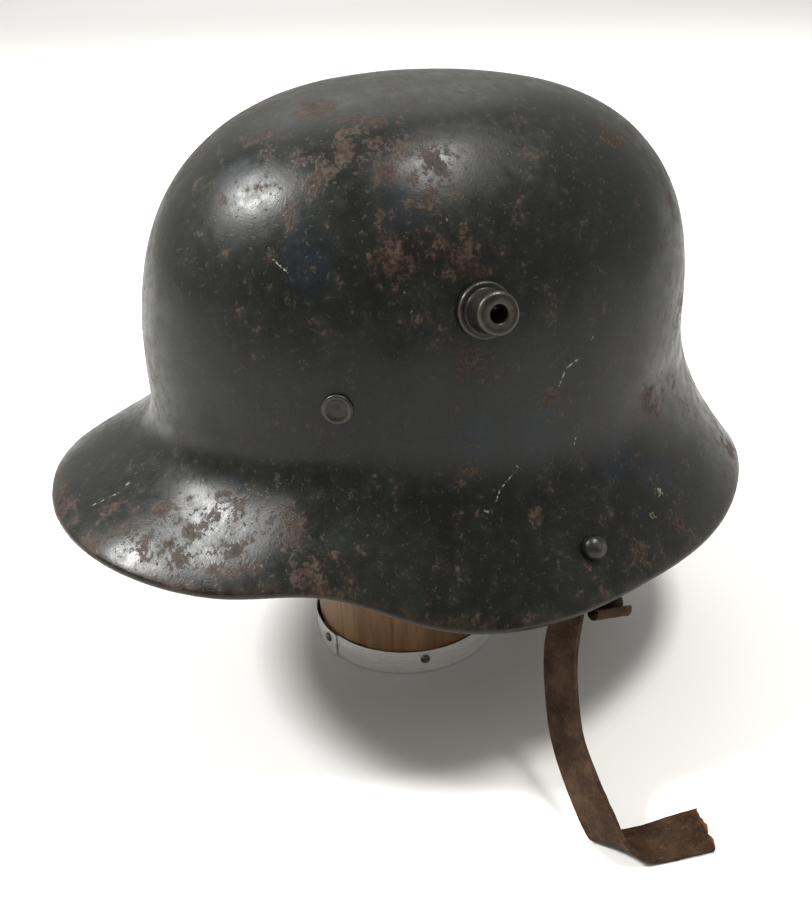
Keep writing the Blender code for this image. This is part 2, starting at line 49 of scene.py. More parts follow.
# Helmet: heights are measured up from the lowest point of its edge
CROWN_HEIGHT = 0.173
EDGE_HEIGHT = 0.0733
SKULL_HALF_WIDTH = 0.0905
SKULL_FRONT = 0.108
SKULL_REAR = 0.1175
VISOR_REACH = 0.152
NECK_REACH = 0.150
SKIRT_HALF_WIDTH = 0.120
EDGE_LIFT = 0.024
WALL = 0.0012
ROLL_RADIUS = 0.0019
ROLL_TURN = 195.0
DOME_PLAN_POWER = 2.4
DOME_RISE_POWER = 2.8
FLARE_START = 0.35
FLARE_END = 0.38
HELMET_BACK = 0.0064

# Fasteners
GAP = 0.0003
LUG_ANGLE = 85.5
LUG_HEIGHT = 0.109
LUG_FLANGE_RADIUS = 0.0095
LUG_FLANGE_THICKNESS = 0.0026
LUG_BARREL_RADIUS = 0.0072
LUG_LENGTH = 0.0137
LUG_BORE_RADIUS = 0.0029
LUG_NECK_RADIUS = 0.0056
LUG_CRIMP_RADIUS = 0.0068
LUG_ROUND = 0.35             # share of a step that its corner is rounded by
LUG_BORE_ROUND = 0.6         # round of the bore's mouth, share of the barrel's round
LUG_FILLET = 0.2             # share of the flange's thickness
LINER_RIVET_ANGLES = (54.2, -54.2, 180.0)
LINER_RIVET_HEIGHT = 0.0793
LINER_RIVET_RADIUS = 0.0054
LINER_RIVET_RISE = 0.0011
LINER_RIVET_RING = 0.8       # the ring's crest, share of the head's radius
LINER_RIVET_OUTSIDE = 0.84   # the ring's outside, share of the head's radius
LINER_RIVET_DISH = 0.5       # depth inside the ring, share of the head's rise
LINER_RIVET_FALL = 0.04      # how far the ring's outside lies under its crest, share of the rise
LINER_RIVET_EDGE = 0.5       # round of the head's edge, share of its rise
LINER_RIVET_DROP = 0.1       # how far that round begins under the crest, share of the rise
RIVET_SHANK_RADIUS = 0.0024
RIVET_TAIL_RADIUS = 0.0045
RIVET_TAIL_THICKNESS = 0.0012
RIVET_TAIL_ROUND = 0.4       # share of its thickness
STRAP_RIVET_ANGLE = 104.5
STRAP_RIVET_HEIGHT = 0.0198
STRAP_RIVET_RADIUS = 0.0047
STRAP_RIVET_RISE = 0.0046
STRAP_RIVET_RIM = 0.2        # straight part under its dome, share of its rise

# Profile of the liner rivet's dish: from the nib at its middle up to the ring's crest
NibStation = namedtuple("NibStation", "radius depth")
RIVET_NIB = (NibStation(0.0, 0.70), NibStation(0.0007, 0.75), NibStation(0.0012, 1.0))
DishStation = namedtuple("DishStation", "reach rise")
RIVET_DISH = (
    DishStation(0.55, 0.02),
    DishStation(0.75, 0.12),
    DishStation(0.86, 0.45),
    DishStation(0.94, 0.86),
    DishStation(1.00, 1.00),
)

# Chin strap and the short curled end beside it
LEATHER = 0.0018
STRAP_WIDTH = 0.016
TONGUE_WIDTH = 0.010
TONGUE_END = 0.0065
STRAP_HEADING = 62.0
STRAP_SPREAD = 0.063
STRAP_SWAY = 0.021
TORN_DEPTH = 0.0025
TORN_REACH = 0.010           # how far back from the end the fibres are pulled
TORN_CURVE = 1.5
TORN_FRINGE = 0.0025         # how far back the torn colour reaches
STUB_WIDTH = 0.015
STUB_DROP = 0.0215
STUB_OUT = 0.0105
STUB_BACK = 0.0032
STUB_CURL_RADIUS = 0.0032
STUB_CURL_TURN = 215.0
STUB_TWIST = 10.0
STUB_TILT = 10.0
STUB_LEAN = 0.7              # share of STUB_BACK that its tongue has moved by its lower end
STUB_SHOULDER = 1.15         # width between tongue and curl, share of the tongue's
CURL_POINTS = 8
CURL_TIGHTENING = 0.25       # share of its radius that the curl loses toward its end
STUB_FRINGE = 0.009          # how far back from the end the torn colour reaches

# Stand
POST_RADIUS = 0.0413
POST_CORNER = 0.026
POST_CROWNING = 0.0016
POST_FOOT_BEVEL = 0.0006
BAND_HEIGHT = 0.012
BAND_THICKNESS = 0.0005
BAND_LAP_ANGLE = -70.0
BAND_LAP = 16.0
BAND_WAVE = 0.0002           # unevenness of its top edge
BAND_BULGE = 0.00012         # unevenness of its face
BAND_WAVE_PITCH = 3
BAND_BULGE_PITCH = (5, 2)    # round the band, and up it
NAIL_ANGLES = (-77.5, -10.0, 75.0, 165.0)
NAIL_HEIGHT = 0.0075
NAIL_HEAD_RADIUS = 0.0021
NAIL_HEAD_RISE = 0.0008
NAIL_SHANK_RADIUS = 0.0009
NAIL_LENGTH = 0.008
NAIL_POINT = 0.7             # where its point begins, share of its length

# Unevenness of the pressed sheet: its depth, and the height above the edge where it sets in
UNEVEN_DEPTH = 0.0005
UNEVEN_START = 0.012
UNEVEN_RAMP = 0.020
UnevenWave = namedtuple("UnevenWave", "pitch share")
UNEVEN_WAVES = (UnevenWave(22, 1.0), UnevenWave(60, 0.4))

# How far wear reaches from an edge or a corner, in metres
EDGE_WEAR = 0.009
LUG_WEAR = 0.0016
LINER_RIVET_WEAR = 0.0011
STRAP_RIVET_WEAR = 0.0035
# How far the tin band's darker colour reaches from its top edge, its foot and its lapped seam, in
# metres
BAND_DARK_REACH = 0.0012
BAND_FOOT_DARK = 0.8         # strength of the darker colour along its foot
BAND_SEAM_DARK = 0.003

# Patches and scratches of the paint
SPOT_FALLOFF = 0.7
SCRATCH_WIDTH = 0.0005
SCRATCH_CORE = 0.4           # share of that width with full strength

# Fineness of the meshes
DOME_ROWS = 64
FLARE_ROWS = 34
ROLL_ROWS = 12
SHELL_COLUMNS = 300
CURVE_POINTS = 120
WALL_HALVINGS = 40
TURNED_SIDES = 72
HOLE_SIDES = 32
HOLE_CUT = 8                 # length of what cuts a hole, in walls
NAIL_SIDES = 32
POST_SIDES = 160
POST_ROWS = 24
STRAP_STEPS = 190
STRAP_COLUMNS = 15
STUB_STEPS = 90
STUB_COLUMNS = 13
BAND_SIDES = 240
BAND_ROWS = 9
MERGE = 0.00001

# Camera: degrees, metres, and millimetres for its lens and sensor
CAMERA_AZIMUTH = 69.97
CAMERA_ELEVATION = 27.3
CAMERA_ROLL = -2.23
CAMERA_DISTANCE = 0.4126
CAMERA_TARGET = Vector((0.0241, -0.0063, 0.1029))
CAMERA_LENS = 40.0
CAMERA_SENSOR = 36.0

# Colours of the paint, the rust and the bare places
PAINT_DARK = (0.0085, 0.0092, 0.0075)
PAINT_LIGHT = (0.0135, 0.0148, 0.0120)
PAINT_GREEN = (0.013, 0.020, 0.015)
PAINT_BLUE = (0.011, 0.015, 0.024)
PAINT_CHALKY = (0.028, 0.030, 0.024)
RUST_BROWN = (0.021, 0.011, 0.009)
RUST_RED = (0.052, 0.027, 0.019)
RUST_TAN = (0.070, 0.052, 0.035)
RUST_STAIN = (0.024, 0.016, 0.012)
RUBBED_STEEL = (0.042, 0.028, 0.021)
PIT_TAN = (0.055, 0.050, 0.038)
DOT_TAN = (0.085, 0.080, 0.065)
FLECK_YELLOW = (0.155, 0.150, 0.100)
SCRATCH_PALE = (0.30, 0.30, 0.26)
FITTING_DARK = (0.008, 0.008, 0.006)
FITTING_LIGHT = (0.017, 0.015, 0.011)
FITTING_RUBBED = (0.060, 0.053, 0.040)

# Colours of the stand, the floor and the room
WOOD_DARK = (0.165, 0.088, 0.040)
WOOD_LIGHT = (0.27, 0.158, 0.080)
WOOD_STREAK = (0.115, 0.058, 0.027)
WOOD_PORE = (0.085, 0.043, 0.022)
TIN_DULL = (0.74, 0.74, 0.72)
TIN_BRIGHT = (0.88, 0.88, 0.86)
TIN_STAIN = (0.40, 0.38, 0.34)
# Darker colour of the tin along its top edge, its foot and its lapped seam
TIN_EDGE_DARK = (0.10, 0.085, 0.070)
NAIL_DARK = (0.10, 0.09, 0.08)
NAIL_LIGHT = (0.26, 0.23, 0.20)
FLOOR_DIM = (0.83, 0.825, 0.82)
FLOOR_BRIGHT = (0.85, 0.845, 0.84)
ROOM_BRIGHT = (0.93, 0.92, 0.88)
ROOM_DIM = (0.52, 0.51, 0.47)

# The leather's faces: two browns, the torn fibres' colour, how fibrous, how rough, how deep
Leather = namedtuple("Leather", "dark light torn fibre rough depth")
HAIR_SIDE = Leather((0.034, 0.018, 0.010), (0.078, 0.047, 0.029), (0.11, 0.06, 0.034),
                    0.3, 0.80, 0.0003)
FLESH_SIDE = Leather((0.030, 0.016, 0.009), (0.062, 0.034, 0.020), (0.13, 0.058, 0.028),
                     0.6, 0.85, 0.00045)
CUT_EDGE = Leather((0.034, 0.019, 0.011), (0.075, 0.043, 0.025), (0.15, 0.075, 0.036),
                   0.6, 0.85, 0.0004)

# Lamps that look at the helmet, by the direction that they shine from, and the backdrop's lamp
Lamp = namedtuple("Lamp", "name azimuth elevation distance width height power colour")
LAMPS = (
    Lamp("rear", 144, 71, 3.3, 0.95, 0.60, 72.0, (1.0, 0.98, 0.94)),
    Lamp("far", -103, 46, 3.3, 2.6, 1.8, 15.0, (1.0, 1.0, 0.97)),
    Lamp("front", -18, 47, 3.3, 0.50, 0.55, 112.0, (0.99, 0.99, 0.97)),
)
OPEN_SPREAD = 180.0          # degrees
BACKDROP_PLACE = (-6.5, 2.4, 3.2)
BACKDROP_WIDTH = 5.0
BACKDROP_HEIGHT = 7.0
BACKDROP_SPREAD = 100.0
BACKDROP_POWER = 40.0
ROOM_DIM_SIDE = (0.86, -0.42, 0.12)
ROOM_STRENGTH = 0.60
FLOOR_HALF_WIDTH = 12.0

# The edge round the helmet: shares of the oval's reach, and of EDGE_LIFT
EdgeStation = namedtuple("EdgeStation", "angle reach lift")
EDGE = (
    EdgeStation(0, 1.000, 1.00),
    EdgeStation(20, 1.008, 0.97),
    EdgeStation(40, 0.990, 0.88),
    EdgeStation(55, 0.973, 0.92),
    EdgeStation(70, 0.972, 0.34),
    EdgeStation(90, 1.000, 0.05),
    EdgeStation(115, 0.983, 0.03),
    EdgeStation(140, 0.984, 0.00),
    EdgeStation(160, 0.995, 0.18),
    EdgeStation(180, 1.000, 0.18),
)
# The waist's height round the helmet, share of CROWN_HEIGHT
WaistStation = namedtuple("WaistStation", "angle height")
WAIST = (
    WaistStation(0, 0.347),
    WaistStation(60, 0.370),
    WaistStation(120, 0.341),
    WaistStation(180, 0.474),
)
# The flare's slope where it meets the rolled edge, degrees
SlopeStation = namedtuple("SlopeStation", "angle slope")
SLOPE = (SlopeStation(0, 33.0), SlopeStation(90, 61.0), SlopeStation(180, 50.0))

# The strap's tongue over its post, then its run: shares of its spread, sway and drop, and degrees
TongueStation = namedtuple("TongueStation", "along width")
TONGUE = (
    TongueStation(-1, 1.0),
    TongueStation(0, 1.0),
    TongueStation(1, 1.0),
    TongueStation(2, 1.1),
)
StrapStation = namedtuple("StrapStation", "out back lift turn lean")
STRAP_RUN = (
    StrapStation(0.08, -0.475, 0.83, 35, -10),
    StrapStation(0.13, -0.515, 0.717, 14, 13),
    StrapStation(0.19, -0.685, 0.582, 16, 16),
    StrapStation(0.29, -0.805, 0.415, 19, 24),
    StrapStation(0.43, -0.885, 0.239, 25, 38),
    StrapStation(0.64, -0.895, 0.103, 35, 50),
    StrapStation(0.81, -0.875, 0.023, 36, 52),
    StrapStation(0.885, -0.835, 0.002, 19, 42),
    StrapStation(0.915, -0.615, 0.001, 0, 22),
    StrapStation(0.945, -0.170, 0.000, -8, 2),
    StrapStation(0.975, 0.415, 0.000, -9, -8),
    StrapStation(1.000, 0.970, 0.000, -9, -13),
)

# Ragged sides of the two leathers, and the bites along the torn end
Ragged = namedtuple("Ragged", "depth waves row seed")
STRAP_RAGGED = Ragged(0.022, 60, 3, 0)
STUB_RAGGED = Ragged(0.05, 14, 5, 1)
BiteWave = namedtuple("BiteWave", "depth pitch seed")
BITE_MIDDLE = 0.5
BITE_WAVES = (BiteWave(0.5, 0.33, 7.3), BiteWave(0.35, 1.4, 2.1))

# Dents in the shell: degrees round, height over the lowest edge, radius and depth in metres
Dent = namedtuple("Dent", "angle height radius depth")
DENTS = (
    Dent(71, 0.113, 0.0075, 0.0013),
    Dent(67, 0.103, 0.0065, 0.0008),
    Dent(98, 0.149, 0.016, 0.0005),
    Dent(58, 0.156, 0.014, -0.0004),
    Dent(30, 0.034, 0.015, 0.0005),
    Dent(150, 0.120, 0.014, 0.0005),
    Dent(-40, 0.128, 0.013, 0.0006),
    Dent(-110, 0.060, 0.015, 0.0006),
    Dent(-150, 0.030, 0.014, 0.0005),
)

# Patches on the paint: degrees round, millimetres over the lowest edge, millimetres across
Patch = namedtuple("Patch", "angle height across")
RUST_PATCHES = (
    Patch(18, 159, 6), Patch(27, 157, 5), Patch(29, 167, 8), Patch(47, 164, 6),
    Patch(58, 164, 6), Patch(51, 158, 7), Patch(62, 158, 5), Patch(67, 156, 6),
    Patch(78, 155, 5), Patch(74, 146, 4.5), Patch(49, 152, 4), Patch(46, 148, 3),
    Patch(40, 155, 4), Patch(41, 142, 3.5), Patch(65, 151, 4), Patch(-13, 155, 9),
    Patch(68, 127, 7), Patch(80, 128, 7), Patch(84, 122, 5), Patch(40, 128, 3),
    Patch(35, 44, 6), Patch(32, 41, 4), Patch(13, 35, 5), Patch(21, 32, 6),
    Patch(25, 30, 4), Patch(17, 27, 5), Patch(5, 28, 7), Patch(32, 30, 7),
    Patch(37, 30, 6), Patch(31, 37, 5), Patch(23, 38, 5), Patch(39, 34, 4),
    Patch(42, 31, 4), Patch(47, 42, 5), Patch(47, 38, 4), Patch(52, 30, 6),
    Patch(101, 73, 5), Patch(82, 94, 6), Patch(82, 52, 3.5), Patch(95, 33, 3.5),
    Patch(134, 55, 8), Patch(114, 11, 5), Patch(128, 13, 5), Patch(-30, 35, 8),
    Patch(-60, 60, 7), Patch(-95, 110, 8), Patch(-120, 90, 6), Patch(-75, 150, 8),
    Patch(-140, 140, 7), Patch(-165, 60, 8), Patch(165, 40, 7), Patch(172, 110, 8),
    Patch(145, 150, 7), Patch(-30, 120, 6), Patch(-50, 90, 5), Patch(-105, 25, 7),
    Patch(-20, 165, 8), Patch(150, 85, 6), Patch(-130, 20, 7), Patch(158, 14, 7),
)
BLUE_PATCHES = (
    Patch(119, 43, 11), Patch(129, 30, 10), Patch(98, 65, 11), Patch(83, 63, 10),
    Patch(71, 143, 9), Patch(46, 127, 11), Patch(23, 150, 9), Patch(33, 44, 9),
    Patch(-70, 80, 14), Patch(-150, 70, 13), Patch(-110, 140, 13),
)
FLECKS = (
    Patch(127, 24.5, 2.6), Patch(122, 19.7, 2.0), Patch(70, 111, 2.2), Patch(69, 118, 1.6),
    Patch(11, 39, 1.8), Patch(130, 131.6, 1.3), Patch(29, 48, 0.9), Patch(28, 45.4, 0.9),
    Patch(23, 46, 0.9), Patch(28, 56.3, 0.6), Patch(38, 66, 0.6), Patch(40, 61.5, 0.6),
    Patch(84, 38.8, 0.9), Patch(109, 47.5, 0.8), Patch(79, 136.9, 1.2), Patch(113, 91.9, 0.9),
    Patch(44, 31.5, 1.3), Patch(46, 148, 1.6), Patch(-45, 70, 1.4), Patch(-100, 60, 1.8),
)

# Scratches through the paint: from one place to another, degrees round and millimetres high
Scratch = namedtuple("Scratch", "angle height to_angle to_height")
SCRATCHES = (
    Scratch(103.5, 77.5, 105.5, 83.5),
    Scratch(105.5, 83.5, 109.0, 85.6),
    Scratch(112.6, 91.0, 113.4, 92.4),
    Scratch(108.2, 52.9, 109.0, 57.5),
    Scratch(92.6, 51.0, 94.2, 48.6),
    Scratch(88.6, 45.2, 91.2, 48.2),
    Scratch(86.6, 41.0, 88.0, 44.6),
    Scratch(96.0, 47.4, 102.4, 47.6),
    Scratch(9.6, 33.0, 11.4, 37.4),
    Scratch(40.5, 127.0, 44.0, 123.5),
    Scratch(-62.0, 120.0, -55.0, 112.0),
    Scratch(-120.0, 60.0, -114.0, 48.0),
)


def even_curve(stations, name):
    """A smooth function of the angle through a table's column, level at 0 and at 180 degrees."""
    knots = np.radians([station.angle for station in stations])
    values = np.array([getattr(station, name) for station in stations], dtype=float)
    steps = np.diff(knots)
    count = len(knots)
    matrix = np.zeros((count, count))
    right = np.zeros(count)
    matrix[0, 0] = 1.0
    matrix[-1, -1] = 1.0
    for row in range(1, count - 1):
        before, after = steps[row - 1], steps[row]
        matrix[row, row - 1:row + 2] = after, 2 * (before + after), before
        right[row] = 3 * (
            after * (values[row] - values[row - 1]) / before
            + before * (values[row + 1] - values[row]) / after
        )
    slopes = np.linalg.solve(matrix, right)

    def curve(angle):
        angle = abs((angle + math.pi) % (2 * math.pi) - math.pi)
        span = min(max(int(np.searchsorted(knots, angle)) - 1, 0), count - 2)
        width = steps[span]
        part = (angle - knots[span]) / width
        return float(
            values[span] * (1 + 2 * part) * (1 - part) ** 2
            + values[span + 1] * part ** 2 * (3 - 2 * part)
            + width * slopes[span] * part * (1 - part) ** 2
            - width * slopes[span + 1] * part ** 2 * (1 - part)
        )

    return curve


edge_reach = even_curve(EDGE, "reach")
edge_lift = even_curve(EDGE, "lift")
waist_height = even_curve(WAIST, "height")
flare_slope = even_curve(SLOPE, "slope")


def oval(angle, front, rear, side):
    """Radius of an oval made of two half ellipses, at an angle round from the front."""
    length = front if math.cos(angle) > 0 else rear
    return 1.0 / math.hypot(math.sin(angle) / side, math.cos(angle) / length)


def section(angle):
    """The sizes of the shell's upright section at an angle: waist, edge roll and slope."""
    waist = Vector((oval(angle, SKULL_FRONT, SKULL_REAR, SKULL_HALF_WIDTH),
                    waist_height(angle) * CROWN_HEIGHT))
    reach = oval(angle, VISOR_REACH, NECK_REACH, SKIRT_HALF_WIDTH) * edge_reach(angle)
    roll_centre = Vector((reach - ROLL_RADIUS, edge_lift(angle) * EDGE_LIFT + ROLL_RADIUS))
    return waist, roll_centre, math.radians(flare_slope(angle))


def dome_point(sizes, part):
    """Outside of the dome, from the crown at part 0 to the waist at part 1: radius, height."""
    waist = sizes[0]
    turn = part * math.pi / 2
    outward = math.sin(turn) ** (2 / DOME_PLAN_POWER)
    upward = max(math.cos(turn), 0.0) ** (2 / DOME_RISE_POWER)
    return Vector((waist.x * outward, waist.y + (CROWN_HEIGHT - waist.y) * upward))


def flare_point(sizes, part):
    """Outside of the flare, from the waist at part 0 to the rolled edge at part 1."""
    waist, roll_centre, slope = sizes
    end = roll_centre + ROLL_RADIUS * Vector((math.sin(slope), math.cos(slope)))
    chord = (end - waist).length
    first = waist + Vector((0, -FLARE_START * chord))
    second = end - FLARE_END * chord * Vector((math.cos(slope), -math.sin(slope)))
    rest = 1 - part
    return (waist * rest ** 3 + first * (3 * rest ** 2 * part)
            + second * (3 * rest * part ** 2) + end * part ** 3)


def roll_point(sizes, part):
    """Outside of the rolled edge, from the flare's end at part 0 round and under."""
    _, roll_centre, slope = sizes
    turn = slope + math.radians(ROLL_TURN) * part
    return roll_centre + ROLL_RADIUS * Vector((math.sin(turn), math.cos(turn)))


def in_space(angle, flat):
    """A section's radius and height as a point of the helmet on its stand."""
    return Vector((flat.x * math.sin(angle), HELMET_BACK - flat.x * math.cos(angle),
                   EDGE_HEIGHT + flat.y))


def evenly(curve, count):
    """The points of a curve at even steps of its length; the last one is left out."""
    parts = np.linspace(0.0, 1.0, CURVE_POINTS)
    points = [curve(part) for part in parts]
    steps = [(after - before).length for before, after in zip(points[:-1], points[1:])]
    length = np.concatenate([[0.0], np.cumsum(steps)])
    wanted = np.linspace(0.0, length[-1], count + 1)[:-1]
    return [curve(part) for part in np.interp(wanted, length, parts)]


def wall_point(angle, part):
    """Outside of the wall from the crown, part 0, through the waist, 1, to the edge, 2."""
    sizes = section(angle)
    flat = dome_point(sizes, part) if part < 1 else flare_point(sizes, part - 1)
    return in_space(angle, flat)


def wall_place(angle_degrees, height):
    """A frame on the outside of the wall, its Z axis square out of the steel."""
    angle = math.radians(angle_degrees)
    low, high = 0.0, 2.0
    for _ in range(WALL_HALVINGS):
        middle = (low + high) / 2
        if wall_point(angle, middle).z - EDGE_HEIGHT > height:
            low = middle
        else:
            high = middle
    part = (low + high) / 2
    step = 0.001
    down = wall_point(angle, part + step) - wall_point(angle, part - step)
    around = wall_point(angle + step, part) - wall_point(angle - step, part)
    outward = down.cross(around).normalized()
    level = UP.cross(outward).normalized()
    rise = outward.cross(level)
    place = Matrix((level, rise, outward)).transposed().to_4x4()
    place.translation = wall_point(angle, part)
    return place


def spline(points, part):
    """A Catmull-Rom curve through rows of numbers, read at part 0 to 1."""
    points = np.asarray(points, dtype=float)
    padded = np.vstack([2 * points[0] - points[1], points, 2 * points[-1] - points[-2]])
    spans = len(points) - 1
    place = min(part * spans, spans - 1e-9)
    index = int(place)
    t = place - index
    a, b, c, d = padded[index:index + 4]
    return 0.5 * (2 * b + (c - a) * t + (2 * a - 5 * b + 4 * c - d) * t ** 2
                  + (3 * b - a - 3 * c + d) * t ** 3)


def arc(centre, radius, start, end, steps):
    """Points of radius and height on an arc, its angles in degrees from level outward."""
    angles = [math.radians(start + (end - start) * step / steps) for step in range(steps + 1)]
    return [(centre[0] + radius * math.cos(a), centre[1] + radius * math.sin(a)) for a in angles]


def dome_profile(radius, base, rise, steps):
    """Points of radius and height on a domed head, from its top down to its rim."""
    turns = [math.radians(90 * step / steps) for step in range(steps + 1)]
    return [(radius * math.sin(turn), base + rise * math.cos(turn)) for turn in turns]


def direction(azimuth_degrees, elevation_degrees):
    """From the object toward what stands at an azimuth and an elevation."""
    azimuth, elevation = math.radians(azimuth_degrees), math.radians(elevation_degrees)
    return Vector((math.sin(azimuth) * math.cos(elevation),
                   -math.cos(azimuth) * math.cos(elevation), math.sin(elevation)))


def add_piece(name, mesh, material):
    """A new object of the scene, with its first material."""
    item = bpy.data.objects.new(name, mesh)
    bpy.context.scene.collection.objects.link(item)
    mesh.materials.append(material)
    return item


def smooth(mesh, sharp=40):
    """Smooth shading, but for the edges that turn by more than this many degrees."""
    mesh.shade_smooth()
    mesh.set_sharp_from_angle(angle=math.radians(sharp))


def grid_mesh(name, rows, closed=False):
    """A mesh of quads through rows of points that are all of one length."""
    work = bmesh.new()
    lines = [[work.verts.new(point) for point in row] for row in rows]
    pairs = list(zip(lines[:-1], lines[1:]))
    if closed:
        pairs.append((lines[-1], lines[0]))
    for first, second in pairs:
        for index in range(len(first) - 1):
            work.faces.new((first[index], first[index + 1], second[index + 1], second[index]))
    bmesh.ops.remove_doubles(work, verts=work.verts, dist=MERGE)
    mesh = bpy.data.meshes.new(name)
    work.to_mesh(mesh)
    work.free()
    return mesh


def settle(item):
    """The item's modifiers go into its mesh."""
    graph = bpy.context.evaluated_depsgraph_get()
    mesh = bpy.data.meshes.new_from_object(item.evaluated_get(graph))
    item.modifiers.clear()
    item.data = mesh
    return mesh


def thicken(item, thickness, offset):
    """Gives a sheet its wall, inward at offset -1 and to both sides at 0."""
    solid = item.modifiers.new("thickness", "SOLIDIFY")
    solid.thickness = thickness
    solid.offset = offset
    solid.use_even_offset = True
    return solid


def punch(item, holes):
    """Cuts round holes, each a frame on the item and a radius, and settles the item's mesh."""
    work = bmesh.new()
    for place, radius in holes:
        made = bmesh.ops.create_cone(work, cap_ends=True, segments=HOLE_SIDES, radius1=radius,
                                     radius2=radius, depth=WALL * HOLE_CUT)
        bmesh.ops.transform(work, verts=made["verts"], matrix=place)
    holes_mesh = bpy.data.meshes.new("holes")
    work.to_mesh(holes_mesh)
    work.free()
    cutter = bpy.data.objects.new("holes", holes_mesh)
    bpy.context.scene.collection.objects.link(cutter)
    cut = item.modifiers.new("holes", "BOOLEAN")
    cut.operation = "DIFFERENCE"
    cut.object = cutter
    mesh = settle(item)
    bpy.data.objects.remove(cutter, do_unlink=True)
    smooth(mesh, sharp=50)
    return mesh


def turned(name, profile, sides, material, place):
    """A closed profile of radius and height pairs, turned about the Z axis of a frame."""
    rows = []
    for side in range(sides):
        angle = 2 * math.pi * side / sides
        rows.append([place @ Vector((radius * math.cos(angle), radius * math.sin(angle), height))
                     for radius, height in profile])
    mesh = grid_mesh(name, rows, closed=True)
    work = bmesh.new()
    work.from_mesh(mesh)
    bmesh.ops.recalc_face_normals(work, faces=work.faces)
    work.to_mesh(mesh)
    work.free()
    smooth(mesh)
    return add_piece(name, mesh, material)


def finish_piece(item, slot, *nodes):
    """A piece rides with the one body and stands for its nodes, which it hides; its slot is not
    used.
    """
    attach(item, "root")
    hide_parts(*nodes)


def write_layer(mesh, name, values):
    """One number for each point, which the material reads by this name."""
    layer = mesh.attributes.new(name, "FLOAT", "POINT")
    layer.data.foreach_set("value", np.asarray(values, dtype=np.float32))


def mesh_points(mesh):
    """The mesh's points, a row for each."""
    points = np.zeros(len(mesh.vertices) * 3, np.float32)
    mesh.vertices.foreach_get("co", points)
    return points.reshape(-1, 3).astype(float)


def spots(points, patches):
    """How strongly each point lies in any of the patches, 1 at a patch's middle."""
    strength = np.zeros(len(points))
    for patch in patches:
        centre = np.array(wall_place(patch.angle, patch.height / 1000).translation)
        away = np.linalg.norm(points - centre, axis=1) / (patch.across / 1000)
        strength = np.maximum(strength, np.exp(-away ** 2 * SPOT_FALLOFF))
    return strength


class Value:
    """A shader socket that sums, differences and products can be written with."""

    def __init__(self, shade, socket):
        self.shade = shade
        self.socket = socket

    def __add__(self, other):
        return self.shade.sum_node("ADD", self, other)

    def __sub__(self, other):
        return self.shade.sum_node("SUBTRACT", self, other)

    def __mul__(self, other):
        return self.shade.sum_node("MULTIPLY", self, other)

    def __rsub__(self, other):
        return self.shade.sum_node("SUBTRACT", other, self)

    __radd__ = __add__
    __rmul__ = __mul__

    def highest(self, other):
        return self.shade.sum_node("MAXIMUM", self, other)


class Shade:
    """The nodes of a material or of the room."""

    def __init__(self, tree):
        self.tree = tree

    def feed(self, socket, value):
        if isinstance(value, Value):
            self.tree.links.new(value.socket, socket)
        else:
            socket.default_value = value

    def node(self, kind, settings=None, sockets=None, output=0):
        """Any node: its settings are set first, then its sockets' values or links."""
        made = self.tree.nodes.new(kind)
        for name, value in (settings or {}).items():
            setattr(made, name, value)
        for name, value in (sockets or {}).items():
            self.feed(made.inputs[name], value)
        return Value(self, made.outputs[output])

    def sum_node(self, operation, first, second):
        return self.node("ShaderNodeMath", {"operation": operation}, {0: first, 1: second})

    def place(self, stretch=(1, 1, 1)):
        """Where a point is on the object, in metres, each axis stretched."""
        point = self.node("ShaderNodeTexCoord", output="Object")
        return self.node("ShaderNodeVectorMath", {"operation": "MULTIPLY"},
                         {0: point, 1: stretch})

    def cloud(self, place, scale, detail=4.0, roughness=0.6, distortion=0.0):
        """Soft noise, its scale in waves a metre."""
        return self.node("ShaderNodeTexNoise", None,
                         {"Vector": place, "Scale": scale, "Detail": detail,
                          "Roughness": roughness, "Distortion": distortion}, "Fac")

    def cells(self, place, scale):
        """Distance from the nearest of many scattered points, their scale in points a metre."""
        return self.node("ShaderNodeTexVoronoi", None, {"Vector": place, "Scale": scale},
                         "Distance")

    def layer(self, name):
        """What write_layer has put on the mesh under this name."""
        return self.node("ShaderNodeAttribute", {"attribute_name": name}, None, "Fac")

    def step(self, value, low, high):
        """0 under the low value, 1 over the high one, smooth between."""
        return self.node("ShaderNodeMapRange", {"interpolation_type": "SMOOTHSTEP"},
                         {"Value": value, "From Min": low, "From Max": high}, "Result")

    def mix(self, share, first, second):
        """A blend of two colours."""
        first, second = (c if isinstance(c, Value) else (*c, 1.0) for c in (first, second))
        return self.node("ShaderNodeMix", {"data_type": "RGBA"},
                         {0: share, 6: first, 7: second}, 2)


class Finish(Shade):
    """A material under construction, around one Principled shader."""

    def __init__(self, name, metallic=0.0, specular=0.5):
        self.material = bpy.data.materials.new(name)
        self.material.use_nodes = True
        super().__init__(self.material.node_tree)
        self.shader = self.tree.nodes["Principled BSDF"]
        self.shader.inputs["Metallic"].default_value = metallic
        self.shader.inputs["Specular IOR Level"].default_value = specular

    def finish(self, colour, roughness, height, depth):
        """Feeds the shader; the height is a low relief of this depth in metres."""
        bump = self.node("ShaderNodeBump", None, {"Height": height, "Distance": depth},
                         "Normal")
        self.feed(self.shader.inputs["Base Color"], colour)
        self.feed(self.shader.inputs["Roughness"], roughness)
        self.feed(self.shader.inputs["Normal"], bump)
        return self.material


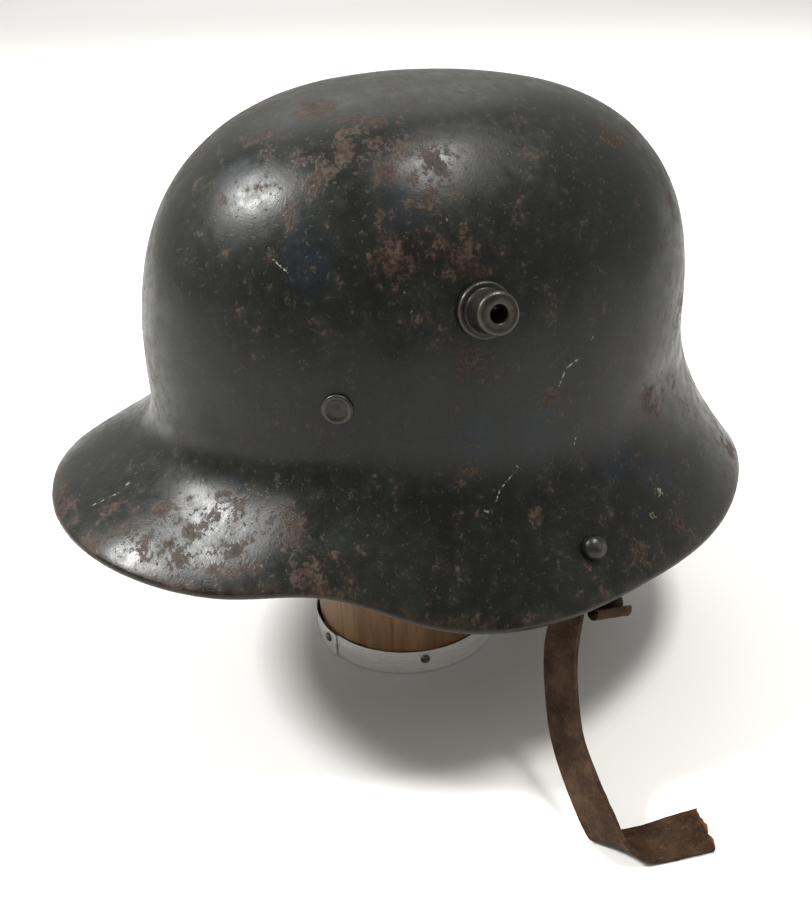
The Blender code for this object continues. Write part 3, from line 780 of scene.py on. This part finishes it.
def stroke_mask(shade, point, scratch):
    """1 on the line between a scratch's two ends, 0 past its width."""
    start = wall_place(scratch.angle, scratch.height / 1000).translation
    end = wall_place(scratch.to_angle, scratch.to_height / 1000).translation
    run = end - start
    offset = shade.node("ShaderNodeVectorMath", {"operation": "SUBTRACT"},
                        {0: point, 1: start})
    along = shade.node("ShaderNodeVectorMath", {"operation": "DOT_PRODUCT"},
                       {0: offset, 1: run / run.length_squared}, "Value")
    along = shade.node("ShaderNodeClamp", None, {"Value": along}, "Result")
    near = shade.node("ShaderNodeVectorMath", {"operation": "SCALE"},
                      {0: tuple(run), "Scale": along})
    away = shade.node("ShaderNodeVectorMath", {"operation": "DISTANCE"},
                      {0: offset, 1: near}, "Value")
    return 1 - shade.step(away, SCRATCH_WIDTH * SCRATCH_CORE, SCRATCH_WIDTH)


def paint_finish():
    """Dark green-grey paint over steel: rust, blue-grey clouds, flecks, scratches, rubbed edge."""
    shade = Finish("painted_steel", specular=0.33)
    point = shade.place()
    broad = shade.cloud(point, 16, 3)
    mottle = shade.cloud(point, 75, 5, 0.65)
    blotch = shade.cloud(point, 190, 4, 0.6)
    grain = shade.cloud(point, 620, 3, 0.6)
    speck = shade.cloud(point, 1500, 2, 0.5)
    rust_layer = shade.layer("rust")
    blue_layer = shade.layer("blue")
    fleck_layer = shade.layer("fleck")
    edge_layer = shade.layer("edge")

    colour = shade.mix(shade.step(broad, 0.38, 0.62), PAINT_DARK, PAINT_LIGHT)
    colour = shade.mix(shade.step(mottle, 0.50, 0.70) * 0.6, colour, PAINT_GREEN)
    clouded = shade.step(blue_layer * 0.5 + mottle, 0.62, 0.95)
    colour = shade.mix(clouded * 0.6, colour, PAINT_BLUE)
    colour = shade.mix(shade.step(blotch, 0.54, 0.72) * 0.35, colour, PAINT_CHALKY)

    uneven = mottle * 0.32 + blotch * 0.38 + grain * 0.30
    bare = uneven + rust_layer * 0.13
    rust = shade.step(bare, 0.565, 0.630)
    rust_colour = shade.mix(shade.step(grain, 0.40, 0.62), RUST_BROWN, RUST_RED)
    rust_colour = shade.mix(shade.step(blotch * 0.6 + grain * 0.4, 0.53, 0.62), rust_colour,
                            RUST_TAN)
    colour = shade.mix(shade.step(bare, 0.52, 0.60) * 0.6, colour, RUST_STAIN)
    colour = shade.mix(rust * 0.75, colour, rust_colour)

    rubbed = shade.step(edge_layer * 0.30 + uneven, 0.70, 0.86)
    colour = shade.mix(rubbed * 0.55, colour, RUBBED_STEEL)
    pit = shade.step(shade.cloud(point, 420, 3, 0.6), 0.62, 0.68)
    colour = shade.mix(pit * 0.40, colour, PIT_TAN)
    dot = shade.step(speck, 0.64, 0.72)
    colour = shade.mix(dot * 0.22, colour, DOT_TAN)
    fleck = shade.step(fleck_layer * 0.6 + grain * 0.8, 0.80, 0.88)
    colour = shade.mix(fleck, colour, FLECK_YELLOW)

    marks = stroke_mask(shade, point, SCRATCHES[0])
    for scratch in SCRATCHES[1:]:
        marks = marks.highest(stroke_mask(shade, point, scratch))
    marks = marks * shade.step(shade.cloud(point, 900, 2), 0.44, 0.54)
    colour = shade.mix(marks * 0.7, colour, SCRATCH_PALE)

    roughness = 0.36 + rust * 0.20 + pit * 0.20 + dot * 0.15 + (blotch - 0.5) * 0.4
    roughness = roughness + (mottle - 0.5) * 0.3 - rubbed * 0.05
    height = grain * 0.35 + speck * 0.25 + mottle * 0.6 + rust * 0.5 - marks * 0.3 + pit * 0.4
    return shade.finish(colour, roughness, height, depth=0.00008)


def fitting_finish():
    """The lugs and rivets: the same paint, thinner, rubbed to brownish steel on its corners."""
    shade = Finish("fitting_paint")
    point = shade.place()
    mottle = shade.cloud(point, 160, 4, 0.6)
    grain = shade.cloud(point, 800, 3, 0.6)
    wear = shade.step(shade.layer("edge") + mottle * 0.6, 0.70, 1.15)
    colour = shade.mix(shade.step(mottle, 0.4, 0.62), FITTING_DARK, FITTING_LIGHT)
    colour = shade.mix(wear * 0.6, colour, FITTING_RUBBED)
    roughness = 0.40 + (grain - 0.5) * 0.4 + (mottle - 0.5) * 0.3 - wear * 0.05
    return shade.finish(colour, roughness, grain * 0.6 + mottle, depth=0.0002)


def leather_finish(name, leather):
    """Old leather: pores and creases on the hair side, loose fibres on the flesh side."""
    shade = Finish(name, specular=0.25)
    point = shade.place()
    mottle = shade.cloud(point, 110, 4, 0.65)
    crease = shade.cloud(point, 420, 4, 0.65, 0.8)
    pore = shade.cells(point, 1500)
    fuzz = shade.cloud(shade.place((1, 0.35, 1)), 1300, 3, 0.7, 1.0)
    torn = shade.layer("torn")
    loose = tuple(channel * 1.7 for channel in leather.light)
    creased = tuple(channel * 0.45 for channel in leather.dark)
    colour = shade.mix(shade.step(mottle, 0.36, 0.66), leather.dark, leather.light)
    colour = shade.mix(shade.step(fuzz, 0.52, 0.70) * leather.fibre, colour, loose)
    colour = shade.mix(shade.step(crease, 0.56, 0.74) * 0.6, colour, creased)
    colour = shade.mix(shade.step(torn + mottle * 0.5, 0.70, 1.15), colour, leather.torn)
    height = crease + pore * 0.35 + fuzz * leather.fibre * 1.2 + mottle * 0.8
    roughness = leather.rough + (crease - 0.5) * 0.3
    return shade.finish(colour, roughness, height, depth=leather.depth)


def wood_finish():
    """Varnished wood with fine upright grain, darker streaks and small pores."""
    shade = Finish("stand_wood")
    broad = shade.cloud(shade.place((1, 1, 0.12)), 60, 3, 0.55)
    grain = shade.cloud(shade.place((1, 1, 0.035)), 700, 4, 0.6)
    fine = shade.cloud(shade.place((1, 1, 0.05)), 2200, 2, 0.5)
    colour = shade.mix(shade.step(broad, 0.34, 0.68), WOOD_DARK, WOOD_LIGHT)
    colour = shade.mix(shade.step(grain, 0.50, 0.68) * 0.55, colour, WOOD_STREAK)
    colour = shade.mix(shade.step(fine, 0.60, 0.74) * 0.45, colour, WOOD_PORE)
    roughness = 0.42 + (grain - 0.5) * 0.3
    return shade.finish(colour, roughness, grain * 0.6 + fine * 0.5, depth=0.00012)


def tin_finish():
    """Dull tinplate: brushed lines round it, small stains and a dark line along its top edge."""
    shade = Finish("stand_tin", metallic=0.55)
    brushed = shade.cloud(shade.place((0.05, 0.05, 1)), 2600, 3, 0.6)
    stain = shade.cloud(shade.place(), 130, 5, 0.65)
    edge = shade.layer("edge")
    colour = shade.mix(shade.step(brushed, 0.35, 0.7), TIN_DULL, TIN_BRIGHT)
    colour = shade.mix(shade.step(stain, 0.56, 0.74) * 0.6, colour, TIN_STAIN)
    # Darker along the band's top edge, its foot and its lapped seam, where the edge layer is high
    colour = shade.mix(shade.step(edge + stain * 0.3, 0.80, 1.10), colour, TIN_EDGE_DARK)
    roughness = 0.36 + (brushed - 0.5) * 0.25 + (stain - 0.5) * 0.3
    return shade.finish(colour, roughness, brushed * 0.3 + stain, depth=0.00008)


def nail_finish():
    """Darkened steel."""
    shade = Finish("nail_steel", metallic=0.8)
    stain = shade.cloud(shade.place(), 700, 4, 0.6)
    colour = shade.mix(shade.step(stain, 0.4, 0.65), NAIL_DARK, NAIL_LIGHT)
    return shade.finish(colour, 0.34 + (stain - 0.5) * 0.4, stain, depth=0.0001)


def floor_finish():
    """Plain pale card."""
    shade = Finish("floor")
    cloud = shade.cloud(shade.place(), 6, 2)
    colour = shade.mix(cloud, FLOOR_DIM, FLOOR_BRIGHT)
    return shade.finish(colour, 0.75 + (cloud - 0.5) * 0.02, cloud, depth=0.00002)


def make_camera():
    """The photograph's camera, set from its angles round the object."""
    back = direction(CAMERA_AZIMUTH, CAMERA_ELEVATION)
    right = UP.cross(back).normalized()
    turn = Matrix((right, back.cross(right), back)).transposed().to_4x4()
    data = bpy.data.cameras.new("camera")
    data.lens = CAMERA_LENS
    data.sensor_width = CAMERA_SENSOR
    data.clip_start = 0.01
    camera = bpy.data.objects.new("camera", data)
    bpy.context.scene.collection.objects.link(camera)
    roll = Matrix.Rotation(math.radians(CAMERA_ROLL), 4, "Z")
    camera.matrix_world = Matrix.Translation(CAMERA_TARGET + back * CAMERA_DISTANCE) @ turn @ roll
    bpy.context.scene.camera = camera
    bpy.context.scene.view_settings.view_transform = "Standard"
    bpy.context.scene.view_settings.look = "Medium High Contrast"


def add_lamp(name, width, height, power, spread, place):
    """A soft box that shines down its own Z axis."""
    data = bpy.data.lights.new(name, "AREA")
    data.shape = "RECTANGLE"
    data.size = width
    data.size_y = height
    data.spread = math.radians(spread)
    data.energy = power
    item = bpy.data.objects.new(name, data)
    bpy.context.scene.collection.objects.link(item)
    item.matrix_world = place
    return data


def make_lamps():
    """Soft boxes that look at the helmet, and one that lights the backdrop."""
    middle = Vector((0, HELMET_BACK, EDGE_HEIGHT + CROWN_HEIGHT / 2))
    for lamp in LAMPS:
        back = direction(lamp.azimuth, lamp.elevation)
        place = (Matrix.Translation(middle + back * lamp.distance)
                 @ back.to_track_quat("Z", "Y").to_matrix().to_4x4())
        light = add_lamp(lamp.name, lamp.width, lamp.height, lamp.power, OPEN_SPREAD, place)
        light.color = lamp.colour
    add_lamp("backdrop", BACKDROP_WIDTH, BACKDROP_HEIGHT, BACKDROP_POWER, BACKDROP_SPREAD,
             Matrix.Translation(BACKDROP_PLACE))


def make_room():
    """A pale room: bright above and behind, dim on the side that the photograph is taken from."""
    world = bpy.data.worlds.new("room")
    bpy.context.scene.world = world
    world.use_nodes = True
    shade = Shade(world.node_tree)
    looking = shade.node("ShaderNodeTexCoord", output="Generated")
    facing = shade.node("ShaderNodeVectorMath", {"operation": "DOT_PRODUCT"},
                        {0: looking, 1: Vector(ROOM_DIM_SIDE).normalized()}, "Value")
    colour = shade.mix(shade.step(facing, 0.25, 0.80), ROOM_BRIGHT, ROOM_DIM)
    background = world.node_tree.nodes["Background"]
    shade.feed(background.inputs["Color"], colour)
    background.inputs["Strength"].default_value = ROOM_STRENGTH
    floor_mesh = bpy.data.meshes.new("floor")
    work = bmesh.new()
    bmesh.ops.create_grid(work, x_segments=1, y_segments=1, size=FLOOR_HALF_WIDTH)
    work.to_mesh(floor_mesh)
    work.free()
    add_piece("floor", floor_mesh, floor_finish())


def shell_rows():
    """Columns of points from the crown down and round the rolled edge, all the way round."""
    columns = []
    for column in range(SHELL_COLUMNS):
        angle = 2 * math.pi * column / SHELL_COLUMNS
        sizes = section(angle)
        flat = evenly(lambda part: dome_point(sizes, part), DOME_ROWS)
        flat += evenly(lambda part: flare_point(sizes, part), FLARE_ROWS)
        flat += [roll_point(sizes, row / ROLL_ROWS) for row in range(ROLL_ROWS + 1)]
        columns.append([in_space(angle, point) for point in flat])
    return columns


def press_dents(mesh):
    """Pushes the sheet in at each dent, and leaves it a little uneven all over."""
    points = mesh_points(mesh)
    normals = np.zeros(len(points) * 3, np.float32)
    mesh.vertices.foreach_get("normal", normals)
    normals = normals.reshape(-1, 3)
    depth = np.zeros(len(points))
    for dent in DENTS:
        centre = np.array(wall_place(dent.angle, dent.height).translation)
        away = np.linalg.norm(points - centre, axis=1) / dent.radius
        depth += dent.depth * np.exp(-away ** 2)
    low = points[:, 2] - EDGE_HEIGHT
    upper = np.clip((low - UNEVEN_START) / UNEVEN_RAMP, 0, 1)
    uneven = np.array([sum(wave.share * noise.noise(Vector(point) * wave.pitch)
                           for wave in UNEVEN_WAVES) for point in points])
    depth += uneven * UNEVEN_DEPTH * upper
    points -= normals * depth[:, None]
    mesh.vertices.foreach_set("co", points.astype(np.float32).ravel())
    mesh.update()


def edge_wear(points):
    """1 on the rolled edge, falling to 0 a centimetre up the flare."""
    angles = np.arctan2(points[:, 0], HELMET_BACK - points[:, 1])
    steps = np.linspace(-math.pi, math.pi, 361)
    sections = [section(angle)[1] for angle in steps]
    reach = np.interp(angles, steps, [centre.x for centre in sections])
    rise = np.interp(angles, steps, [centre.y for centre in sections])
    out = np.hypot(points[:, 0], points[:, 1] - HELMET_BACK) - reach
    up = points[:, 2] - EDGE_HEIGHT - rise
    away = np.hypot(out, up) - ROLL_RADIUS
    return np.clip(1 - away / EDGE_WEAR, 0, 1)


def make_shell(paint):
    """The pressed sheet with its rolled edge and the holes for its fasteners."""
    mesh = grid_mesh("helmet_shell", shell_rows(), closed=True)
    press_dents(mesh)
    shell = add_piece("helmet_shell", mesh, paint)
    thicken(shell, WALL, -1.0)
    holes = []
    for side in (1, -1):
        holes.append((wall_place(side * LUG_ANGLE, LUG_HEIGHT), LUG_NECK_RADIUS + GAP))
        holes.append((wall_place(side * STRAP_RIVET_ANGLE, STRAP_RIVET_HEIGHT),
                      RIVET_SHANK_RADIUS + GAP))
    for angle in LINER_RIVET_ANGLES:
        holes.append((wall_place(angle, LINER_RIVET_HEIGHT), RIVET_SHANK_RADIUS + GAP))
    mesh = punch(shell, holes)
    points = mesh_points(mesh)
    write_layer(mesh, "rust", spots(points, RUST_PATCHES))
    write_layer(mesh, "blue", spots(points, BLUE_PATCHES))
    write_layer(mesh, "fleck", spots(points, FLECKS))
    write_layer(mesh, "edge", edge_wear(points))
    finish_piece(shell, "painted_steel", "shell")


def seat_sag(radius):
    """How far a flat seat of this radius is lifted by the roundness of the wall."""
    return radius ** 2 / (2 * SKULL_HALF_WIDTH)


def wear_corners(item, place, corners, reach):
    """Marks the points near the corners of a turned piece, each a radius and a height."""
    local = place.inverted()
    values = []
    for vertex in item.data.vertices:
        point = local @ vertex.co
        radius = math.hypot(point.x, point.y)
        away = min(math.hypot(radius - out, point.z - up) for out, up in corners)
        values.append(max(1 - away / reach, 0.0))
    write_layer(item.data, "edge", values)


def make_vent_lug(side, name, finish):
    """Stepped horn, drilled through: flange and barrel outside, crimped lip inside."""
    step = GAP + LUG_FLANGE_THICKNESS
    round_flange = LUG_FLANGE_THICKNESS * LUG_ROUND
    round_barrel = (LUG_BARREL_RADIUS - LUG_BORE_RADIUS) * LUG_ROUND
    round_bore = round_barrel * LUG_BORE_ROUND
    fillet = LUG_FLANGE_THICKNESS * LUG_FILLET
    inside = -WALL - GAP - seat_sag(LUG_CRIMP_RADIUS)
    profile = arc((LUG_BORE_RADIUS + round_bore, LUG_LENGTH - round_bore), round_bore,
                  180, 90, 5)
    profile += arc((LUG_BARREL_RADIUS - round_barrel, LUG_LENGTH - round_barrel), round_barrel,
                   90, 0, 7)
    profile += arc((LUG_BARREL_RADIUS + fillet, step + fillet), fillet, 180, 270, 4)
    profile += arc((LUG_FLANGE_RADIUS - round_flange, step - round_flange), round_flange,
                   90, 0, 7)
    profile += [(LUG_FLANGE_RADIUS, GAP), (LUG_NECK_RADIUS, GAP), (LUG_NECK_RADIUS, inside),
                (LUG_CRIMP_RADIUS, inside), (LUG_CRIMP_RADIUS, inside - WALL),
                (LUG_BORE_RADIUS, inside - WALL)]
    profile.append(profile[0])
    place = wall_place(side * LUG_ANGLE, LUG_HEIGHT)
    lug = turned("lug_" + name, profile, TURNED_SIDES, finish, place)
    corners = ((LUG_BORE_RADIUS + round_bore, LUG_LENGTH),
               (LUG_BARREL_RADIUS - round_barrel * 0.3, LUG_LENGTH - round_barrel * 0.3),
               (LUG_FLANGE_RADIUS, step - round_flange * 0.5))
    wear_corners(lug, place, corners, LUG_WEAR)
    finish_piece(lug, "painted_steel", "vent_lug_" + name)


def rivet_tail(depth):
    """The head formed on a rivet's inner end, whose seat is at this depth."""
    round_tail = RIVET_TAIL_THICKNESS * RIVET_TAIL_ROUND
    low = -depth - RIVET_TAIL_THICKNESS
    return ([(RIVET_SHANK_RADIUS, -depth), (RIVET_TAIL_RADIUS, -depth)]
            + arc((RIVET_TAIL_RADIUS - round_tail, low + round_tail), round_tail, 0, -90, 5)
            + [(0.0, low)])


def make_liner_rivet(angle, name, finish):
    """Flat head with a raised ring and a dished middle, a small nib at its centre."""
    top = GAP + LINER_RIVET_RISE
    ring = LINER_RIVET_RADIUS * LINER_RIVET_RING
    dish = LINER_RIVET_RISE * LINER_RIVET_DISH
    edge = LINER_RIVET_RISE * LINER_RIVET_EDGE
    drop = LINER_RIVET_RISE * LINER_RIVET_DROP
    profile = [(nib.radius, top - dish * nib.depth) for nib in RIVET_NIB]
    profile += [(ring * station.reach, top - dish * (1 - station.rise)) for station in RIVET_DISH]
    profile.append((LINER_RIVET_RADIUS * LINER_RIVET_OUTSIDE,
                    top - LINER_RIVET_RISE * LINER_RIVET_FALL))
    profile += arc((LINER_RIVET_RADIUS - edge, top - edge - drop), edge, 75, 0, 5)
    profile += [(LINER_RIVET_RADIUS, GAP), (RIVET_SHANK_RADIUS, GAP)]
    profile += rivet_tail(WALL + GAP + seat_sag(RIVET_TAIL_RADIUS))
    place = wall_place(angle, LINER_RIVET_HEIGHT)
    rivet = turned("rivet_" + name, profile, TURNED_SIDES, finish, place)
    wear_corners(rivet, place, ((ring, top), (LINER_RIVET_RADIUS, top - edge)), LINER_RIVET_WEAR)
    finish_piece(rivet, "painted_steel", "liner_rivet_" + name)


def leather_depth(layer):
    """Depth below the wall's outside of the outer face of a leather on the rivet's post."""
    collar = WALL + 2 * GAP + seat_sag(RIVET_TAIL_RADIUS) + RIVET_TAIL_THICKNESS
    return collar + layer * (LEATHER + GAP)


def make_strap_rivet(side, name, finish):
    """Domed head outside; inside, a collar, a post for the leather and a button."""
    collar_seat = WALL + GAP + seat_sag(RIVET_TAIL_RADIUS)
    collar_end = collar_seat + RIVET_TAIL_THICKNESS
    rim = STRAP_RIVET_RISE * STRAP_RIVET_RIM
    profile = dome_profile(STRAP_RIVET_RADIUS, GAP + rim, STRAP_RIVET_RISE - rim, 14)
    profile += [(STRAP_RIVET_RADIUS, GAP), (RIVET_SHANK_RADIUS, GAP),
                (RIVET_SHANK_RADIUS, -collar_seat), (RIVET_TAIL_RADIUS, -collar_seat),
                (RIVET_TAIL_RADIUS, -collar_end), (RIVET_SHANK_RADIUS, -collar_end)]
    profile += rivet_tail(leather_depth(2))
    place = wall_place(side * STRAP_RIVET_ANGLE, STRAP_RIVET_HEIGHT)
    rivet = turned("stud_" + name, profile, TURNED_SIDES, finish, place)
    wear_corners(rivet, place, ((0.0, GAP + STRAP_RIVET_RISE),), STRAP_RIVET_WEAR)
    finish_piece(rivet, "painted_steel", "strap_rivet_" + name)


def strap_stations():
    """The strap's sections, each its middle, the direction of its width and half its width."""
    place = wall_place(STRAP_RIVET_ANGLE, STRAP_RIVET_HEIGHT)
    level, rise, outward = (place.to_3x3().col[axis] for axis in range(3))
    post = place.translation - outward * (leather_depth(1) + LEATHER / 2)
    heading = math.radians(STRAP_HEADING)
    ahead = -level * math.sin(heading) - rise * math.cos(heading)
    across = outward.cross(ahead)
    if across.y < 0:
        across = -across
    stations = []
    for tongue in TONGUE:
        stations.append((*(post + ahead * TONGUE_END * tongue.along), *across,
                         TONGUE_WIDTH * tongue.width / 2))
    for station in STRAP_RUN:
        turn, lean = math.radians(station.turn), math.radians(station.lean)
        width = Vector((math.cos(turn) * math.cos(lean), math.sin(turn) * math.cos(lean),
                        math.sin(lean)))
        edge = GAP + LEATHER / 2 + station.lift * post.z
        centre = Vector((post.x + station.out * STRAP_SPREAD,
                         post.y + station.back * STRAP_SWAY,
                         edge + abs(width.z) * STRAP_WIDTH / 2))
        stations.append((*centre, *width, STRAP_WIDTH / 2))
    return stations, place


def strip_rows(stations, steps, columns, ragged):
    """Rows of points across a strip of leather that runs through stations, its sides ragged."""
    rows = []
    for step in range(steps + 1):
        part = step / steps
        values = spline(stations, part)
        centre, across = Vector(values[:3]), Vector(values[3:6]).normalized()
        row = []
        for column in range(columns):
            share = 2 * column / (columns - 1) - 1
            wave = noise.noise(Vector((part * ragged.waves, math.copysign(ragged.row, share),
                                       ragged.seed)))
            row.append(centre + across * values[6] * share * (1 + ragged.depth * wave))
        rows.append(row)
    return rows


def leather_sheet(name, rows, materials, place, depth, fringe):
    """A leather strip with its two faces and its cut edges, and the hole for its post."""
    mesh = grid_mesh(name, rows)
    strip = add_piece(name, mesh, materials[0])
    for material in materials[1:]:
        mesh.materials.append(material)
    solid = thicken(strip, LEATHER, 0.0)
    solid.material_offset = 1
    solid.material_offset_rim = 2
    middle = place @ Matrix.Translation((0, 0, -depth - LEATHER / 2))
    settled = punch(strip, [(middle, RIVET_SHANK_RADIUS + GAP)])
    write_layer(settled, "torn", fringe(mesh_points(settled)))
    return strip


def make_chin_strap(materials):
    """The long strap: a tongue on the post, a hanging run, a turn on the floor and a torn end."""
    stations, place = strap_stations()
    rows = strip_rows(stations, STRAP_STEPS, STRAP_COLUMNS, STRAP_RAGGED)
    run = (rows[-1][0] - rows[-3][0]).normalized()
    for row in rows:
        away = (rows[-1][0] - row[0]).length
        share = max(1 - away / TORN_REACH, 0.0) ** TORN_CURVE
        for column, point in enumerate(row):
            bite = sum((wave.depth * noise.noise(Vector((column * wave.pitch, wave.seed, 0)))
                        for wave in BITE_WAVES), BITE_MIDDLE)
            point -= run * max(bite, 0.0) * TORN_DEPTH * share
    end = np.array(rows[-1][STRAP_COLUMNS // 2])

    def fringe(points):
        return np.clip(1 + (points - end) @ np.array(run) / TORN_FRINGE, 0, 1)

    strap = leather_sheet("strap_long", rows, materials, place, leather_depth(1), fringe)
    finish_piece(strap, "strap_leather", "chin_strap")


def make_strap_stub(materials):
    """The short end: a tongue on the post, down along the wall, curled outward at its foot."""
    place = wall_place(STRAP_RIVET_ANGLE, STRAP_RIVET_HEIGHT)
    rise, outward = (place.to_3x3().col[axis] for axis in (1, 2))
    post = place.translation - outward * (leather_depth(0) + LEATHER / 2)
    out = Vector((outward.x, outward.y, 0)).normalized()
    side = UP.cross(out)
    if side.y < 0:
        side = -side
    twist, tilt = math.radians(STUB_TWIST), math.radians(STUB_TILT)
    along = (side * math.cos(twist) + out * math.sin(twist)) * math.cos(tilt) - UP * math.sin(tilt)
    forth = (out - along * out.dot(along)).normalized()
    over = forth.cross(along)
    curl = post + out * STUB_OUT + side * STUB_BACK - UP * STUB_DROP
    lower = post - rise * TONGUE_END + side * STUB_BACK * STUB_LEAN
    centre_line = [(post + rise * TONGUE_END, side, TONGUE_WIDTH), (post, side, TONGUE_WIDTH),
                   (lower, side, TONGUE_WIDTH)]
    start = curl - forth * STUB_CURL_RADIUS
    centre_line.append(((start + over * STUB_CURL_RADIUS + lower) / 2, side + along,
                        TONGUE_WIDTH * STUB_SHOULDER))
    for step in range(CURL_POINTS + 1):
        turn = math.radians(STUB_CURL_TURN) * step / CURL_POINTS
        shrink = 1 - CURL_TIGHTENING * step / CURL_POINTS
        offset = -forth * math.cos(turn) - over * math.sin(turn)
        centre_line.append((curl + offset * STUB_CURL_RADIUS * shrink, along, STUB_WIDTH))
    stations = [(*centre, *across.normalized(), width / 2)
                for centre, across, width in centre_line]
    rows = strip_rows(stations, STUB_STEPS, STUB_COLUMNS, STUB_RAGGED)
    end = np.array(rows[-1][STUB_COLUMNS // 2])

    def fringe(points):
        return np.clip(1 - np.linalg.norm(points - end, axis=1) / STUB_FRINGE, 0, 1) * 0.5

    stub = leather_sheet("strap_short", rows, materials, place, leather_depth(0), fringe)
    finish_piece(stub, "strap_leather", "strap_stub")


def make_post(finish):
    """The round post, with a rounded top that carries the crown from inside."""
    top = EDGE_HEIGHT + CROWN_HEIGHT - WALL - GAP
    shoulder = top - POST_CROWNING - POST_CORNER
    profile = [(0.0, top)]
    profile += arc((POST_RADIUS - POST_CORNER, shoulder), POST_CORNER, 90, 0, 20)
    heights = np.linspace(shoulder, BAND_HEIGHT, POST_ROWS)[1:]
    profile += [(POST_RADIUS, height) for height in heights]
    profile += [(POST_RADIUS, POST_FOOT_BEVEL), (POST_RADIUS - POST_FOOT_BEVEL, 0.0), (0.0, 0.0)]
    post = turned("post", profile, POST_SIDES, finish, Matrix())
    finish_piece(post, "stand_wood", "stand_post")


def band_radius(turn):
    """Middle radius of the band at a turn in degrees from its inner end: it laps itself."""
    inner = POST_RADIUS + GAP + BAND_THICKNESS / 2
    step = BAND_THICKNESS + GAP
    rise = min(max((turn - (360 - 2 * BAND_LAP)) / BAND_LAP, 0.0), 1.0)
    return inner + step * rise * rise * (3 - 2 * rise)


def make_band(finish):
    """Tin strip round the foot: its outer end laps over the start, and it is a little uneven."""
    total = 360 + BAND_LAP
    rows = []
    for step in range(BAND_SIDES + 1):
        turn = total * step / BAND_SIDES
        angle = math.radians(BAND_LAP_ANGLE - total + turn)
        round_band = Vector((math.cos(angle), math.sin(angle), 0)) * BAND_WAVE_PITCH
        wave = BAND_WAVE * noise.noise(round_band + UP * 4)
        row = []
        for level in range(BAND_ROWS):
            share = level / (BAND_ROWS - 1)
            height = GAP + (BAND_HEIGHT - GAP + wave * share - BAND_WAVE) * share
            on_face = Vector((angle * BAND_BULGE_PITCH[0], share * BAND_BULGE_PITCH[1], 9))
            bulge = BAND_BULGE * noise.noise(on_face)
            radius = band_radius(turn) + max(bulge, 0)
            row.append(Vector((radius * math.cos(angle), radius * math.sin(angle), height)))
        rows.append(row)
    band = add_piece("band", grid_mesh("band", rows), finish)
    thicken(band, BAND_THICKNESS, 0.0)
    mesh = settle(band)
    smooth(mesh)
    points = mesh_points(mesh)
    lap = math.radians(BAND_LAP_ANGLE)
    seam = np.hypot(points[:, 0] - POST_RADIUS * math.cos(lap),
                    points[:, 1] - POST_RADIUS * math.sin(lap))
    # The edge layer here makes the tin darker along its top edge, its foot and its lapped seam
    top = np.clip(1 - (BAND_HEIGHT - points[:, 2]) / BAND_DARK_REACH, 0, 1)
    foot = np.clip(1 - points[:, 2] / BAND_DARK_REACH, 0, 1) * BAND_FOOT_DARK
    lapped = np.clip(1 - seam / BAND_SEAM_DARK, 0, 1)
    write_layer(mesh, "edge", np.maximum(np.maximum(top, foot), lapped))
    finish_piece(band, "stand_tin", "stand_band")


def make_nails(finish):
    """Small domed nails through the band, into the post."""
    for number, angle_degrees in enumerate(NAIL_ANGLES, 1):
        angle = math.radians(angle_degrees)
        outward = Vector((math.cos(angle), math.sin(angle), 0))
        place = Matrix((UP.cross(outward), UP, outward)).transposed().to_4x4()
        place.translation = outward * POST_RADIUS + UP * NAIL_HEIGHT
        turn = (angle_degrees - BAND_LAP_ANGLE) % 360
        outside = band_radius(turn) + BAND_THICKNESS / 2
        if turn < BAND_LAP or turn > 360 - BAND_LAP:
            outside = band_radius(360) + BAND_THICKNESS / 2
        seat = outside - POST_RADIUS + GAP
        profile = dome_profile(NAIL_HEAD_RADIUS, seat, NAIL_HEAD_RISE, 9)
        profile += [(NAIL_SHANK_RADIUS, seat), (NAIL_SHANK_RADIUS, -NAIL_LENGTH * NAIL_POINT),
                    (0.0, -NAIL_LENGTH)]
        nail = turned("nail_%d" % number, profile, NAIL_SIDES, finish, place)
        finish_piece(nail, "nail_steel", "stand_nail_%d" % number)


make_camera()
make_room()
make_lamps()
paint = paint_finish()
fitting = fitting_finish()
leathers = (leather_finish("leather_flesh", FLESH_SIDE), leather_finish("leather_hair", HAIR_SIDE),
            leather_finish("leather_edge", CUT_EDGE))
make_shell(paint)
for side, side_name in ((1, "left"), (-1, "right")):
    make_vent_lug(side, side_name, fitting)
    make_strap_rivet(side, side_name, fitting)
for rivet_angle, rivet_name in zip(LINER_RIVET_ANGLES, ("left", "right", "rear")):
    make_liner_rivet(rivet_angle, rivet_name, fitting)
make_chin_strap(leathers)
make_strap_stub(leathers)
make_post(wood_finish())
make_band(tin_finish())
make_nails(nail_finish())
